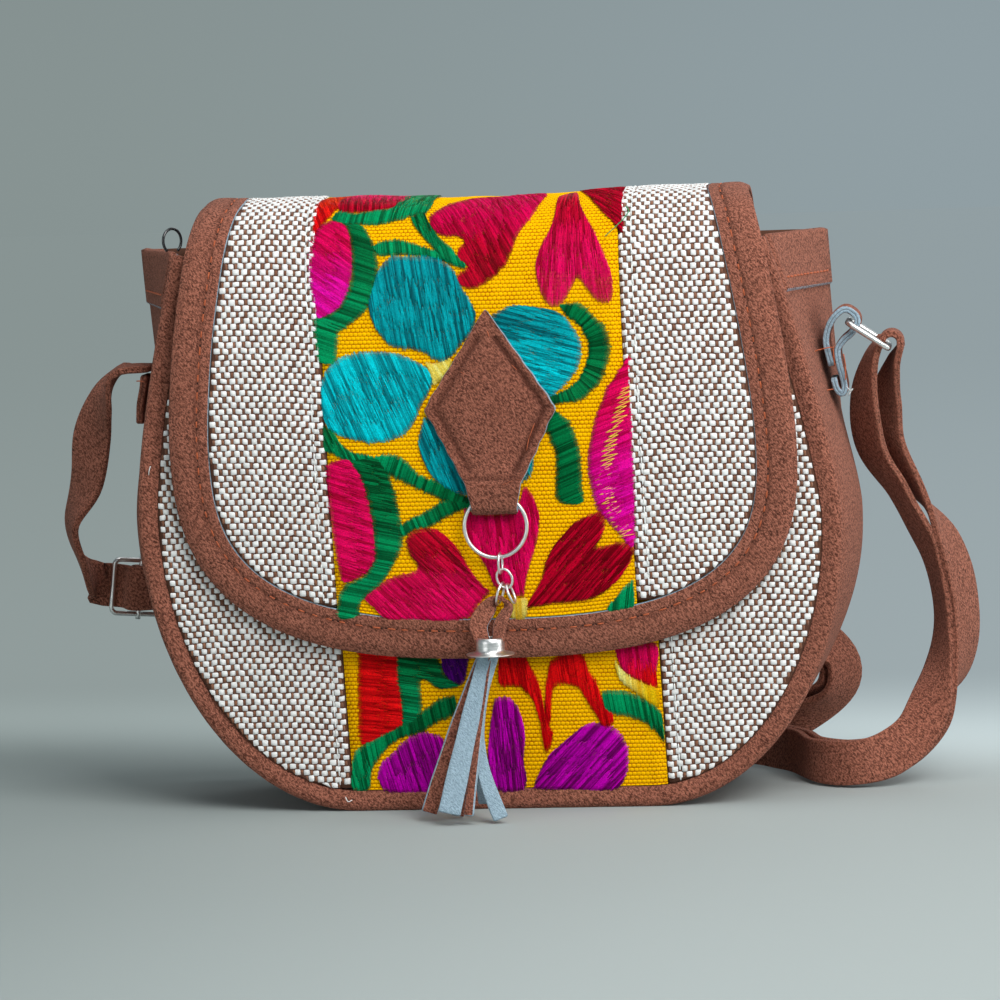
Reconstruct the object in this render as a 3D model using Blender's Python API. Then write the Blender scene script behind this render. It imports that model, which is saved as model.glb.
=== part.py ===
"""Embroidered crossbody saddle bag, in metres: +Z up, front towards -Y, origin under the middle of its flat base.

A linen and embroidered front, a plain linen back and a suede gusset make the body, and a rounded flap of the
same cloths, edged in suede, comes over from the back. A suede kite with a steel ring, a short chain and a suede
tassel hangs on the flap. One long suede strap is sewn to the left side, runs through a wire slide behind the
bag and doubles back over the ring at the right side.
"""

import math

import bmesh
import bpy
import numpy as np

# Body
BODY_HALF = 0.1208
BODY_HEIGHT = 0.193
BASE_HALF = 0.050
CORNER_HEIGHT = 0.100
FRONT_TOP_HALF = 0.1022
BACK_TOP_HALF = 0.1205
HALF_DEPTH = 0.035
MOUTH_PINCH = 0.010
FRONT_BULGE = 0.006
BACK_BULGE = 0.003
GUSSET_BULGE = 0.0058
BODY_LEAN = -0.030
MOUTH_LEAN = -0.055
LINEN_WALL = 0.0020
SUEDE_WALL = 0.0020
BINDING_WIDTH = 0.0069
BINDING_DEPTH = 0.0050
BINDING_PROUD = 0.0015
HEM_HEIGHT = 0.0185
HEM_PROUD = 0.0011
FRONT_BAND_HALF = 0.0545
FRONT_BAND_OFFSET = 0.0020
BAND_RECESS = 0.0005
GAP = 0.0003

# Flap
FLAP_HALF = 0.107
FLAP_TOP_HALF = 0.094
FLAP_ROUND = 0.073
FLAP_ROUND_POWER = 2.75
FLAP_TAPER_LENGTH = 0.092
FLAP_BINDING_WIDTH = 0.0137
FLAP_BINDING_THICK = 0.0030
FLAP_CROWN = 0.0050
FLAP_DIP = 0.0015
FLAP_BAND_HALF = 0.0515
FLAP_BAND_OFFSET = -0.0010

# Kite patch, ring, chain and tassel
SUEDE_TRIM = 0.0017
KITE_OFFSET = 0.0045
KITE_HALF = 0.0222
KITE_HEIGHT = 0.0669
KITE_BOTTOM_RISE = 0.0505
KITE_TUNNEL = 0.0022
RING_RADIUS = 0.0106
RING_WIRE = 0.0014
LINK_HALF_LENGTH = 0.0034
LINK_HALF_WIDTH = 0.0026
JUMP_HALF_LENGTH = 0.0038
JUMP_HALF_WIDTH = 0.0030
LINK_WIRE = 0.0009
LINK_SEAT = LINK_WIRE + 0.0004
CAP_RADIUS = 0.0048
CAP_HEIGHT = 0.0053
CAP_WALL = 0.0005
CAP_BRIM_RADIUS = 0.0082
TASSEL_LENGTH = 0.0535
TASSEL_STRIP_THICK = 0.0014
LOOP_HEIGHT = 0.0130

# Strap, tabs and metal frames
STRAP_WIDTH = 0.0155
STRAP_THICK = 0.0024
STRAP_STEP = 0.0054
TAB_WIDTH = 0.0150
TAB_THICK = 0.0024
FRAME_WIRE = 0.0021
FRAME_LENGTH = 0.0183
SLIDE_WIRE = 0.0018
SLIDE_LENGTH = 0.0200
FRAME_CLEARANCE = 0.0012
FRAME_SEAT_RISE = 0.8385
FRAME_SEAT_OUT = 0.084
FRAME_WAY = (0.83, 0.0, -0.555)
BAR_SEAT = STRAP_THICK / 2 + SLIDE_WIRE / 2 + 0.0005
SLIDE_RUN = 0.0120
CREST_OUT = 0.0010
CREST_RISE = 0.0016
CREST_REACH = 0.38
PULL_RADIUS = 0.0042
PULL_WIRE = 0.0010
PULL_PLACE = 0.13
PULL_TURN = (0.60, 0.80)

# Inner face of the flap at the middle: y as a share of HALF_DEPTH, z as a share of BODY_HEIGHT
FLAP_PROFILE = [
    {"y": 0.886, "z": 0.820},
    {"y": 0.850, "z": 0.912},
    {"y": 0.780, "z": 0.990},
    {"y": 0.570, "z": 1.047},
    {"y": 0.200, "z": 1.074},
    {"y": -0.180, "z": 1.075},
    {"y": -0.530, "z": 1.055},
    {"y": -0.815, "z": 1.000},
    {"y": -0.965, "z": 0.918},
    {"y": -1.095, "z": 0.795},
    {"y": -1.195, "z": 0.645},
    {"y": -1.235, "z": 0.490},
    {"y": -1.225, "z": 0.360},
    {"y": -1.190, "z": 0.276},
]

# Kite and its tab: drop and half width as shares of KITE_HEIGHT and KITE_HALF, layers of suede below the centre
KITE_SECTIONS = [
    {"drop": 0.000, "half": 0.020, "layers": 0.0},
    {"drop": 0.165, "half": 0.350, "layers": 0.0},
    {"drop": 0.330, "half": 0.690, "layers": 0.0},
    {"drop": 0.485, "half": 1.000, "layers": 0.0},
    {"drop": 0.600, "half": 0.820, "layers": 0.0},
    {"drop": 0.720, "half": 0.640, "layers": 0.25},
    {"drop": 0.800, "half": 0.515, "layers": 1.20},
    {"drop": 0.860, "half": 0.420, "layers": 2.05},
    {"drop": 0.900, "half": 0.385, "layers": 2.20},
    {"drop": 0.972, "half": 0.345, "layers": 2.20},
]
KITE_TAIL = [
    {"drop": 0.972, "half": 0.330},
    {"drop": 0.910, "half": 0.335},
    {"drop": 0.850, "half": 0.345},
]

# Tassel strips, from the cap down: side and depth lean of the tip and its side bow as shares of TASSEL_LENGTH,
# length as a share of it, width in metres, turn of the flat of the strip in degrees
TASSEL_STRIPS = [
    {"side": -0.400, "depth": -0.120, "bow": -0.020, "length": 0.985, "width": 0.0046, "turn": 50.0},
    {"side": -0.270, "depth": -0.260, "bow": -0.005, "length": 0.960, "width": 0.0064, "turn": 12.0},
    {"side": -0.260, "depth": -0.010, "bow": 0.010, "length": 0.995, "width": 0.0050, "turn": 40.0},
    {"side": -0.110, "depth": -0.200, "bow": -0.030, "length": 0.990, "width": 0.0044, "turn": -60.0},
    {"side": 0.030, "depth": -0.030, "bow": -0.075, "length": 0.985, "width": 0.0046, "turn": -35.0},
    {"side": 0.070, "depth": -0.170, "bow": -0.130, "length": 0.990, "width": 0.0050, "turn": 25.0},
]

# Doubled strap from the slide to the right ring: middle between its two layers, x, y and z as shares of
# BODY_HALF, HALF_DEPTH and BODY_HEIGHT, direction of its width, spread of the layers in thicknesses
STRAP_ROUTE = [
    {"x": -1.050, "y": 1.406, "z": 0.360, "wide_x": 0.14, "wide_y": 0.00, "wide_z": 0.99, "spread": 1.40},
    {"x": -1.004, "y": 1.462, "z": 0.356, "wide_x": 0.19, "wide_y": 0.00, "wide_z": 0.98, "spread": 1.40},
    {"x": -0.900, "y": 1.500, "z": 0.342, "wide_x": 0.17, "wide_y": 0.00, "wide_z": 0.98, "spread": 1.40},
    {"x": -0.500, "y": 1.480, "z": 0.300, "wide_x": 0.12, "wide_y": 0.00, "wide_z": 0.99, "spread": 1.40},
    {"x": 0.000, "y": 1.390, "z": 0.275, "wide_x": 0.05, "wide_y": 0.00, "wide_z": 1.00, "spread": 1.40},
    {"x": 0.456, "y": 1.390, "z": 0.268, "wide_x": 0.03, "wide_y": 0.03, "wide_z": 1.00, "spread": 1.40},
    {"x": 0.730, "y": 1.420, "z": 0.258, "wide_x": 0.07, "wide_y": 0.35, "wide_z": 0.93, "spread": 1.80},
    {"x": 0.875, "y": 1.430, "z": 0.236, "wide_x": 0.45, "wide_y": 0.58, "wide_z": 0.68, "spread": 1.90},
    {"x": 0.950, "y": 1.440, "z": 0.195, "wide_x": 0.66, "wide_y": 0.74, "wide_z": 0.10, "spread": 1.90},
    {"x": 0.945, "y": 1.470, "z": 0.145, "wide_x": 0.70, "wide_y": 0.71, "wide_z": 0.00, "spread": 1.90},
    {"x": 0.870, "y": 1.580, "z": 0.105, "wide_x": 0.58, "wide_y": 0.62, "wide_z": -0.53, "spread": 1.90},
    {"x": 0.740, "y": 1.760, "z": 0.068, "wide_x": 0.30, "wide_y": 0.25, "wide_z": -0.92, "spread": 1.90},
    {"x": 0.560, "y": 1.960, "z": 0.048, "wide_x": 0.00, "wide_y": 0.00, "wide_z": -1.00, "spread": 1.80},
    {"x": 0.440, "y": 1.900, "z": 0.044, "wide_x": 0.00, "wide_y": 0.00, "wide_z": -1.00, "spread": 1.80},
    {"x": 0.385, "y": 1.660, "z": 0.044, "wide_x": 0.00, "wide_y": 0.00, "wide_z": -1.00, "spread": 1.80},
    {"x": 0.440, "y": 1.430, "z": 0.044, "wide_x": 0.00, "wide_y": 0.00, "wide_z": -1.00, "spread": 1.80},
    {"x": 0.560, "y": 1.360, "z": 0.044, "wide_x": 0.00, "wide_y": 0.00, "wide_z": -1.00, "spread": 1.60},
    {"x": 0.720, "y": 1.350, "z": 0.044, "wide_x": 0.00, "wide_y": 0.00, "wide_z": -1.00, "spread": 1.40},
    {"x": 0.835, "y": 0.820, "z": 0.044, "wide_x": 0.00, "wide_y": 0.00, "wide_z": -1.00, "spread": 1.40},
    {"x": 0.900, "y": 0.200, "z": 0.044, "wide_x": 0.00, "wide_y": 0.00, "wide_z": -1.00, "spread": 1.40},
    {"x": 1.000, "y": -0.050, "z": 0.045, "wide_x": 0.00, "wide_y": 0.00, "wide_z": -1.00, "spread": 1.60},
    {"x": 1.110, "y": 0.060, "z": 0.058, "wide_x": 0.36, "wide_y": -0.16, "wide_z": -0.92, "spread": 1.90},
    {"x": 1.205, "y": 0.230, "z": 0.105, "wide_x": 0.66, "wide_y": -0.42, "wide_z": -0.62, "spread": 1.80},
    {"x": 1.283, "y": 0.420, "z": 0.200, "wide_x": 0.68, "wide_y": -0.64, "wide_z": -0.35, "spread": 1.50},
    {"x": 1.302, "y": 0.500, "z": 0.305, "wide_x": 0.62, "wide_y": -0.76, "wide_z": -0.18, "spread": 1.45},
    {"x": 1.268, "y": 0.460, "z": 0.422, "wide_x": 0.60, "wide_y": -0.80, "wide_z": -0.03, "spread": 1.55},
    {"x": 1.182, "y": 0.330, "z": 0.530, "wide_x": 0.64, "wide_y": -0.77, "wide_z": 0.03, "spread": 2.30},
    {"x": 1.112, "y": 0.190, "z": 0.615, "wide_x": 0.66, "wide_y": -0.75, "wide_z": -0.06, "spread": 3.10},
    {"x": 1.104, "y": 0.080, "z": 0.700, "wide_x": 0.56, "wide_y": -0.82, "wide_z": -0.12, "spread": 3.50},
    {"x": 1.122, "y": 0.010, "z": 0.765, "wide_x": 0.22, "wide_y": -0.97, "wide_z": -0.08, "spread": 3.20},
    {"x": 1.143, "y": 0.000, "z": 0.800, "wide_x": 0.00, "wide_y": -1.00, "wide_z": 0.00, "spread": 3.00},
]
# Single strap from the slide up to where it is sewn to the left side
STRAP_LEFT_ROUTE = [
    {"x": -1.248, "y": 1.134, "z": 0.376, "wide_x": 0.00, "wide_y": 0.00, "wide_z": 1.00},
    {"x": -1.280, "y": 0.943, "z": 0.398, "wide_x": -0.35, "wide_y": 0.22, "wide_z": 0.91},
    {"x": -1.291, "y": 0.757, "z": 0.440, "wide_x": -0.66, "wide_y": 0.45, "wide_z": 0.60},
    {"x": -1.291, "y": 0.571, "z": 0.503, "wide_x": -0.74, "wide_y": 0.57, "wide_z": 0.37},
    {"x": -1.248, "y": 0.457, "z": 0.580, "wide_x": -0.84, "wide_y": 0.43, "wide_z": 0.34},
    {"x": -1.221, "y": 0.343, "z": 0.663, "wide_x": -0.86, "wide_y": 0.36, "wide_z": 0.37},
    {"x": -1.180, "y": 0.200, "z": 0.725, "wide_x": -0.48, "wide_y": 0.67, "wide_z": 0.57},
    {"x": -1.126, "y": 0.080, "z": 0.770, "wide_x": 0.09, "wide_y": 0.90, "wide_z": 0.42},
    {"x": -1.076, "y": 0.000, "z": 0.788, "wide_x": 0.22, "wide_y": 0.97, "wide_z": 0.08},
    {"x": -1.002, "y": 0.000, "z": 0.790, "wide_x": 0.00, "wide_y": 1.00, "wide_z": 0.00},
]

# Right tab: x as a share of BODY_HALF out from the gusset, z as a share of BODY_HEIGHT
RIGHT_TAB_PATH = [
    {"out": 0.013, "z": 0.765},
    {"out": 0.011, "z": 0.785},
    {"out": 0.012, "z": 0.812},
    {"out": 0.036, "z": 0.843},
    {"out": 0.075, "z": 0.862},
    {"out": 0.104, "z": 0.853},
    {"out": 0.108, "z": 0.838},
    {"out": 0.088, "z": 0.821},
    {"out": 0.058, "z": 0.806},
    {"out": 0.039, "z": 0.790},
    {"out": 0.036, "z": 0.765},
    {"out": 0.037, "z": 0.742},
    {"out": 0.034, "z": 0.722},
    {"out": 0.022, "z": 0.712},
    {"out": 0.011, "z": 0.722},
    {"out": 0.011, "z": 0.738},
]
LEFT_TAB_PATH = [
    {"out": 0.0105, "z": 0.775},
    {"out": 0.0115, "z": 0.755},
    {"out": 0.0170, "z": 0.725},
    {"out": 0.0125, "z": 0.694},
]

SUEDE_BROWN = (0.195, 0.070, 0.046, 1.0)
LINEN_COLOUR = (0.560, 0.480, 0.430, 1.0)
BAND_COLOUR = (0.930, 0.480, 0.012, 1.0)
STEEL_COLOUR = (0.780, 0.780, 0.760, 1.0)
PALE_SUEDE = (0.310, 0.400, 0.500, 1.0)
BLACK_WIRE = (0.020, 0.020, 0.022, 1.0)


def clear_scene():
    """Removes what the startup scene holds."""
    for item in list(bpy.data.objects):
        bpy.data.objects.remove(item)


def finish_material(name, colour, roughness, metallic=0.0):
    """A Principled material of one colour."""
    made = bpy.data.materials.new(name)
    made.use_nodes = True
    shader = made.node_tree.nodes["Principled BSDF"]
    shader.inputs["Base Color"].default_value = colour
    shader.inputs["Roughness"].default_value = roughness
    shader.inputs["Metallic"].default_value = metallic
    return made


def new_object(name, points, faces, finish, smooth_angle=50.0):
    """An object of these points and faces, with its faces turned outwards."""
    mesh = bpy.data.meshes.new(name)
    mesh.from_pydata([tuple(point) for point in points], [], faces)
    shape = bmesh.new()
    shape.from_mesh(mesh)
    bmesh.ops.recalc_face_normals(shape, faces=shape.faces)
    shape.to_mesh(mesh)
    shape.free()
    mesh.shade_smooth()
    mesh.set_sharp_from_angle(angle=math.radians(smooth_angle))
    mesh.materials.append(finish)
    made = bpy.data.objects.new(name, mesh)
    bpy.context.scene.collection.objects.link(made)
    return made


def unit(vectors):
    """Vectors scaled to length one along the last axis."""
    return vectors / np.linalg.norm(vectors, axis=-1, keepdims=True)


def smooth_step(share):
    """0 below 0, 1 above 1, and a smooth rise between."""
    share = np.clip(share, 0.0, 1.0)
    return share * share * (3.0 - 2.0 * share)


def curve_through(rows, step):
    """Points every step along a Catmull-Rom curve through the rows, whose first 3 columns are x, y and z."""
    rows = np.asarray(rows, dtype=float)
    ends = np.vstack([2 * rows[0] - rows[1], rows, 2 * rows[-1] - rows[-2]])
    share = np.linspace(0.0, 1.0, 24, endpoint=False)[:, None]
    fine = []
    for before, start, end, after in zip(ends, ends[1:], ends[2:], ends[3:]):
        bend = 2 * before - 5 * start + 4 * end - after
        twist = 3 * start - before - 3 * end + after
        fine.append(0.5 * (2 * start + (end - before) * share + bend * share**2 + twist * share**3))
    fine = np.vstack(fine + [rows[-1:]])
    run = np.concatenate([[0.0], np.cumsum(np.linalg.norm(np.diff(fine[:, :3], axis=0), axis=1))])
    count = max(2, int(round(run[-1] / step)) + 1)
    places = np.linspace(0.0, run[-1], count)
    return np.column_stack([np.interp(places, run, column) for column in fine.T])


def wall(name, outer, inner, finish):
    """A closed wall between two grids of points of the same shape, outer face and inner face."""
    rows, columns = outer.shape[:2]
    points = np.vstack([outer.reshape(-1, 3), inner.reshape(-1, 3)])
    front = np.arange(rows * columns).reshape(rows, columns)
    behind = front + rows * columns
    faces = []
    for grid in (front, behind):
        quads = np.stack([grid[:-1, :-1], grid[:-1, 1:], grid[1:, 1:], grid[1:, :-1]], axis=-1)
        faces += quads.reshape(-1, 4).tolist()
    edge = np.concatenate([np.arange(columns - 1), columns * np.arange(rows - 1) + columns - 1])
    edge = np.concatenate([edge, rows * columns - 1 - np.arange(columns - 1)])
    edge = np.concatenate([edge, columns * np.arange(rows - 1, 0, -1)])
    beyond = np.roll(edge, -1)
    rim = np.stack([edge, beyond, beyond + rows * columns, edge + rows * columns], axis=-1)
    return new_object(name, points, faces + rim.tolist(), finish)


def loft(name, sections, finish, closed=False, smooth_angle=50.0):
    """A solid through closed sections of points, capped at both ends or joined into a ring."""
    count, corners = sections.shape[:2]
    index = np.arange(count * corners).reshape(count, corners)
    following = np.roll(index, -1, axis=0) if closed else index[1:]
    leading = index if closed else index[:-1]
    quads = np.stack(
        [leading, np.roll(leading, -1, axis=1), np.roll(following, -1, axis=1), following], axis=-1
    )
    faces = quads.reshape(-1, 4).tolist()
    if not closed:
        faces += [index[0, ::-1].tolist(), index[-1].tolist()]
    return new_object(name, sections.reshape(-1, 3), faces, finish, smooth_angle)


def ribbon_sections(centre, across, half_widths, thick):
    """Four corners at each centre point of a flat strip, its width along across."""
    along = unit(np.gradient(centre, axis=0))
    across = unit(across - along * np.sum(across * along, axis=1, keepdims=True))
    up = np.cross(along, across) * (thick / 2)
    side = across * np.broadcast_to(half_widths, len(centre))[:, None]
    return np.stack([centre - side - up, centre + side - up, centre + side + up, centre - side + up], axis=1)


def wire_loop(name, path, wire, finish, sides=6):
    """A closed wire of round section along a closed path of points."""
    along = unit(np.roll(path, -1, axis=0) - np.roll(path, 1, axis=0))
    flat = unit(np.cross(path[0] - path.mean(axis=0), along[0]))
    outward = unit(np.cross(along, flat))
    turn = np.arange(sides) * 2 * math.pi / sides
    ring = np.cos(turn)[None, :, None] * outward[:, None] + np.sin(turn)[None, :, None] * flat
    return loft(name, path[:, None] + ring * wire / 2, finish, closed=True)


def oval_path(centre, half_length, half_width, long_way, wide_way, count=12):
    """Points round an oval with its long half along long_way and its wide half along wide_way."""
    turn = np.arange(count) * 2 * math.pi / count
    long_way = unit(np.array(long_way, dtype=float))
    wide_way = np.array(wide_way, dtype=float)
    wide_way = unit(wide_way - long_way * np.dot(wide_way, long_way))
    return (
        np.array(centre)
        + np.cos(turn)[:, None] * half_length * long_way
        + np.sin(turn)[:, None] * half_width * wide_way
    )


def frame_path(centre, half_long, half_wide, long_way, wide_way, corner):
    """Points round a rectangle with rounded corners, two on each straight and three on each corner."""
    path = []
    for quarter in range(4):
        along = 1 if quarter in (0, 3) else -1
        over = 1 if quarter in (0, 1) else -1
        for turn in np.radians(90 * quarter + np.array([0.0, 45.0, 90.0])):
            along_part = along * (half_long - corner) + corner * math.cos(turn)
            over_part = over * (half_wide - corner) + corner * math.sin(turn)
            path.append(centre + along_part * long_way + over_part * wide_way)
    return np.array(path)


# Body shapes


def leaned(x, z, mouth_lean=BODY_LEAN):
    """The bag leans a little to its left: x moves with height, by nothing at the corner height."""
    rate = np.where(z > CORNER_HEIGHT, mouth_lean, BODY_LEAN)
    return x + rate * (z - CORNER_HEIGHT)


def side_half(z, top_half):
    """Half width of the body above its rounded corners, drawn in towards top_half."""
    share = np.clip((z - CORNER_HEIGHT) / (BODY_HEIGHT - CORNER_HEIGHT), 0.0, 1.0)
    return BODY_HALF - (BODY_HALF - top_half) * share**1.4


def body_outline(top_half, sides=6, corners=9, base=3):
    """Outline from the left top down round the base to the right top: points (x, z) and outward normals."""
    side_z = np.linspace(BODY_HEIGHT, CORNER_HEIGHT, sides, endpoint=False)
    turn = np.linspace(0.0, math.pi / 2, corners, endpoint=False)
    corner_x = BASE_HALF + (BODY_HALF - BASE_HALF) * np.cos(turn)
    corner_z = CORNER_HEIGHT * (1 - np.sin(turn))
    base_x = np.linspace(BASE_HALF, 0.0, base)
    x = np.concatenate([side_half(side_z, top_half), corner_x, base_x])
    z = np.concatenate([side_z, corner_z, np.zeros(base)])
    points = np.column_stack([np.concatenate([-x, x[-2::-1]]), np.concatenate([z, z[-2::-1]])])
    along = unit(np.gradient(points, axis=0))
    return points, np.column_stack([along[:, 1], -along[:, 0]])


def edge_depth(z):
    """How far the seams of the front and back stand from the middle of the bag, drawn in at the mouth."""
    return HALF_DEPTH - MOUTH_PINCH * smooth_step((z - CORNER_HEIGHT) / (BODY_HEIGHT - CORNER_HEIGHT))


def bulge_share(x, z, top_half):
    """1 in the middle of a panel and 0 at its sides, top and bottom."""
    across = 1 - np.clip(x / side_half(z, top_half), -1, 1) ** 2
    return across * np.sin(math.pi * np.clip(z / BODY_HEIGHT, 0, 1))


def front_point(x, z, sunk):
    """A point of the front, sunk below its outer face."""
    y = -edge_depth(z) - FRONT_BULGE * bulge_share(x, z, FRONT_TOP_HALF) + sunk
    return np.stack([leaned(x, z, MOUTH_LEAN), y, z], axis=-1)


def back_point(x, z, sunk):
    """A point of the back, sunk below its outer face."""
    y = edge_depth(z) + BACK_BULGE * bulge_share(x, z, BACK_TOP_HALF) - sunk
    return np.stack([leaned(x, z, MOUTH_LEAN), y, z], axis=-1)


def gusset_bow(z):
    """How far the gusset bows out at the middle of its depth: nothing at the base or near the mouth."""
    rise = smooth_step((z - 0.2 * CORNER_HEIGHT) / (0.7 * CORNER_HEIGHT))
    flat = smooth_step((z - 0.50 * BODY_HEIGHT) / (0.30 * BODY_HEIGHT))
    return GUSSET_BULGE * rise * (1 - flat)


def gusset_hem(z):
    """How far the turned hem at the top of the gusset stands proud of it."""
    return HEM_PROUD * smooth_step((z - BODY_HEIGHT + HEM_HEIGHT + 0.001) / 0.001)


def gusset_outer(side, z):
    """Outer face of the gusset at one side, where the back edge of a strip sewn to its middle lies."""
    share = 0.5 + 0.25 * TAB_WIDTH / edge_depth(z)
    middle = side_half(z, FRONT_TOP_HALF) * (1 - share) + side_half(z, BACK_TOP_HALF) * share
    return leaned(side * (middle + gusset_bow(z) + gusset_hem(z)), z, MOUTH_LEAN)


def inset(points, normals, width):
    """An outline moved inwards by width."""
    return points - normals * width


def build_gusset(suede):
    """The strip round the sides and base: bowed out at the sides, flat below, with a turned hem at each top."""
    front, front_out = body_outline(FRONT_TOP_HALF)
    back, back_out = body_outline(BACK_TOP_HALF)
    share = np.linspace(0.0, 1.0, 7)[None, :, None]
    line = front[:, None] * (1 - share) + back[:, None] * share
    out = unit(front_out[:, None] * (1 - share) + back_out[:, None] * share)
    height = line[..., 1]
    bow = gusset_bow(height) * (1 - (2 * share[..., 0] - 1) ** 2)
    seam = edge_depth(height) - (BINDING_DEPTH - BINDING_PROUD) - GAP
    y = seam * (2 * share[..., 0] - 1)

    def face(offset):
        moved = line + out * offset[..., None]
        x = leaned(moved[..., 0], height, MOUTH_LEAN)
        return np.stack([x, y, moved[..., 1]], axis=-1)

    return wall("gusset", face(bow + gusset_hem(height)), face(bow - SUEDE_WALL), suede)


def build_body_binding(name, top_half, facing, suede):
    """The suede strip folded over the seam between a panel and the gusset, rounded on its outer face."""
    points, out = body_outline(top_half)
    shares = np.array([0.0, 0.25, 0.65, 1.0])
    lifts = BINDING_PROUD * np.array([0.15, 1.0, 0.9, 0.35])
    line = points[:, None] - out[:, None] * (BINDING_WIDTH * shares)[None, :, None]
    depth = edge_depth(points[:, 1])[:, None]
    x = leaned(line[..., 0], line[..., 1], MOUTH_LEAN)
    outer = np.stack([x, facing * (depth + lifts), line[..., 1]], axis=-1)
    behind = depth - (BINDING_DEPTH - BINDING_PROUD) + 0 * lifts
    inner = np.stack([x, facing * behind, line[..., 1]], axis=-1)
    return wall(name, outer, inner, suede)


def panel_edge(outline, normals, width, stop_x):
    """The left part of an inset outline, from its top down to where it meets x = stop_x."""
    edge = inset(outline, normals, width)
    rise = BODY_HEIGHT - edge[0, 1]
    edge[0] += (edge[1] - edge[0]) / (edge[1, 1] - edge[0, 1]) * rise
    return edge[edge[:, 0] < stop_x - 0.002]


def side_panel_grid(edge, inner_x, columns):
    """Rows from the outline edge across to the straight line x = inner_x, as one grid of x and height."""
    top, bottom = edge[0, 1], edge[-1, 1]
    run = np.concatenate([[0.0], np.cumsum(np.linalg.norm(np.diff(edge, axis=0), axis=1))])
    ends = top + (bottom - top) * run / run[-1]
    share = np.linspace(0.0, 1.0, columns)[None]
    x = edge[:, :1] * (1 - share) + inner_x * share
    return x, edge[:, 1:] * (1 - share) + ends[:, None] * share


def build_front(linen, band_cloth):
    """Two linen sides and the embroidered band between them, on one bowed surface."""
    outline, out = body_outline(FRONT_TOP_HALF)
    width = BINDING_WIDTH + GAP
    left_x = FRONT_BAND_OFFSET - FRONT_BAND_HALF
    right_x = FRONT_BAND_OFFSET + FRONT_BAND_HALF
    for name, side, stop in (("front_left", 1, left_x), ("front_right", -1, -right_x)):
        edge = panel_edge(outline, out, width, stop - GAP / 2)
        x, z = side_panel_grid(edge, stop - GAP / 2, 6)
        wall(name, front_point(side * x, z, 0.0), front_point(side * x, z, LINEN_WALL), linen)
    edge = inset(outline, out, width)
    low = edge[edge[:, 1] < CORNER_HEIGHT]
    columns = np.linspace(left_x + GAP / 2, right_x - GAP / 2, 9)
    ends = np.interp(columns, low[:, 0], low[:, 1])
    share = np.linspace(0.0, 1.0, 13)[:, None]
    x = np.broadcast_to(columns, (13, 9))
    z = BODY_HEIGHT + (ends[None] - BODY_HEIGHT) * share
    wall("front_band", front_point(x, z, BAND_RECESS), front_point(x, z, LINEN_WALL), band_cloth)


def build_back(linen):
    """The plain linen back, in one piece."""
    outline, out = body_outline(BACK_TOP_HALF)
    edge = inset(outline, out, BINDING_WIDTH + GAP)
    left = edge[: len(edge) // 2 + 1]
    left = left[left[:, 0] <= -BASE_HALF * 0.5]
    columns = 7
    share = np.linspace(-1.0, 1.0, columns)[None]
    x = -left[:, :1] * share
    z = np.repeat(left[:, 1:], columns, axis=1)
    z[-1] = BINDING_WIDTH + GAP
    keep = np.concatenate([[True], np.diff(left[:, 1]) < -1e-5])
    wall("back_panel", back_point(x[keep], z[keep], 0.0), back_point(x[keep], z[keep], LINEN_WALL), linen)


# Flap shapes


def flap_profile():
    """Inner face of the flap down its middle, finely: y, z, run along it and the outward normal."""
    rows = [(0.0, row["y"] * HALF_DEPTH, row["z"] * BODY_HEIGHT) for row in FLAP_PROFILE]
    fine = curve_through(rows, 0.001)[:, 1:]
    run = np.concatenate([[0.0], np.cumsum(np.linalg.norm(np.diff(fine, axis=0), axis=1))])
    along = unit(np.gradient(fine, axis=0))
    return fine, run, np.column_stack([-along[:, 1], along[:, 0]]) * -1


PROFILE, PROFILE_RUN, PROFILE_OUT = flap_profile()
FLAP_LENGTH = float(PROFILE_RUN[-1])


def flap_point(x, run, lift):
    """A point of the flap: x across, run down it from the back seam, lifted off its inner face."""
    y = np.interp(run, PROFILE_RUN, PROFILE[:, 0])
    z = np.interp(run, PROFILE_RUN, PROFILE[:, 1])
    out_y = np.interp(run, PROFILE_RUN, PROFILE_OUT[:, 0])
    out_z = np.interp(run, PROFILE_RUN, PROFILE_OUT[:, 1])
    ahead = smooth_step((FLAP_LENGTH - FLAP_ROUND * 0.4 - run) / FLAP_TAPER_LENGTH)
    crown = FLAP_CROWN * (x / FLAP_HALF) ** 2 * (1 - ahead)
    over = np.clip(-out_y, -1, 1) ** 2
    dip = FLAP_DIP * (1 - over) * np.clip(1 - (x / FLAP_BAND_HALF) ** 2, 0, 1)
    height = z + lift * out_z - dip
    return np.stack([leaned(x, height), y + lift * out_y + crown, height], axis=-1)


def run_at_height(height):
    """How far down the front of the flap a height lies."""
    front = np.argmax(PROFILE[:, 1])
    return float(np.interp(-height, -PROFILE[front:, 1], PROFILE_RUN[front:]))


def flap_outline(sides=17, rounds=12):
    """Outline of the flap laid flat, from the left of the back seam round the bottom: (x, run) and normals."""
    side_run = np.linspace(0.0, FLAP_LENGTH - FLAP_ROUND, sides, endpoint=False)
    share = np.clip((FLAP_LENGTH - FLAP_ROUND - side_run) / FLAP_TAPER_LENGTH, 0.0, 1.0)
    side_x = FLAP_HALF - (FLAP_HALF - FLAP_TOP_HALF) * share**1.5
    turn = np.linspace(0.0, math.pi / 2, rounds + 1)
    power = 2 / FLAP_ROUND_POWER
    round_x = FLAP_HALF * np.clip(np.cos(turn), 0, 1) ** power
    round_run = FLAP_LENGTH - FLAP_ROUND + FLAP_ROUND * np.sin(turn) ** power
    x = np.concatenate([side_x, round_x])
    run = np.concatenate([side_run, round_run])
    points = np.column_stack([np.concatenate([-x, x[-2::-1]]), np.concatenate([run, run[-2::-1]])])
    along = unit(np.gradient(points, axis=0))
    return points, np.column_stack([-along[:, 1], along[:, 0]])


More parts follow.
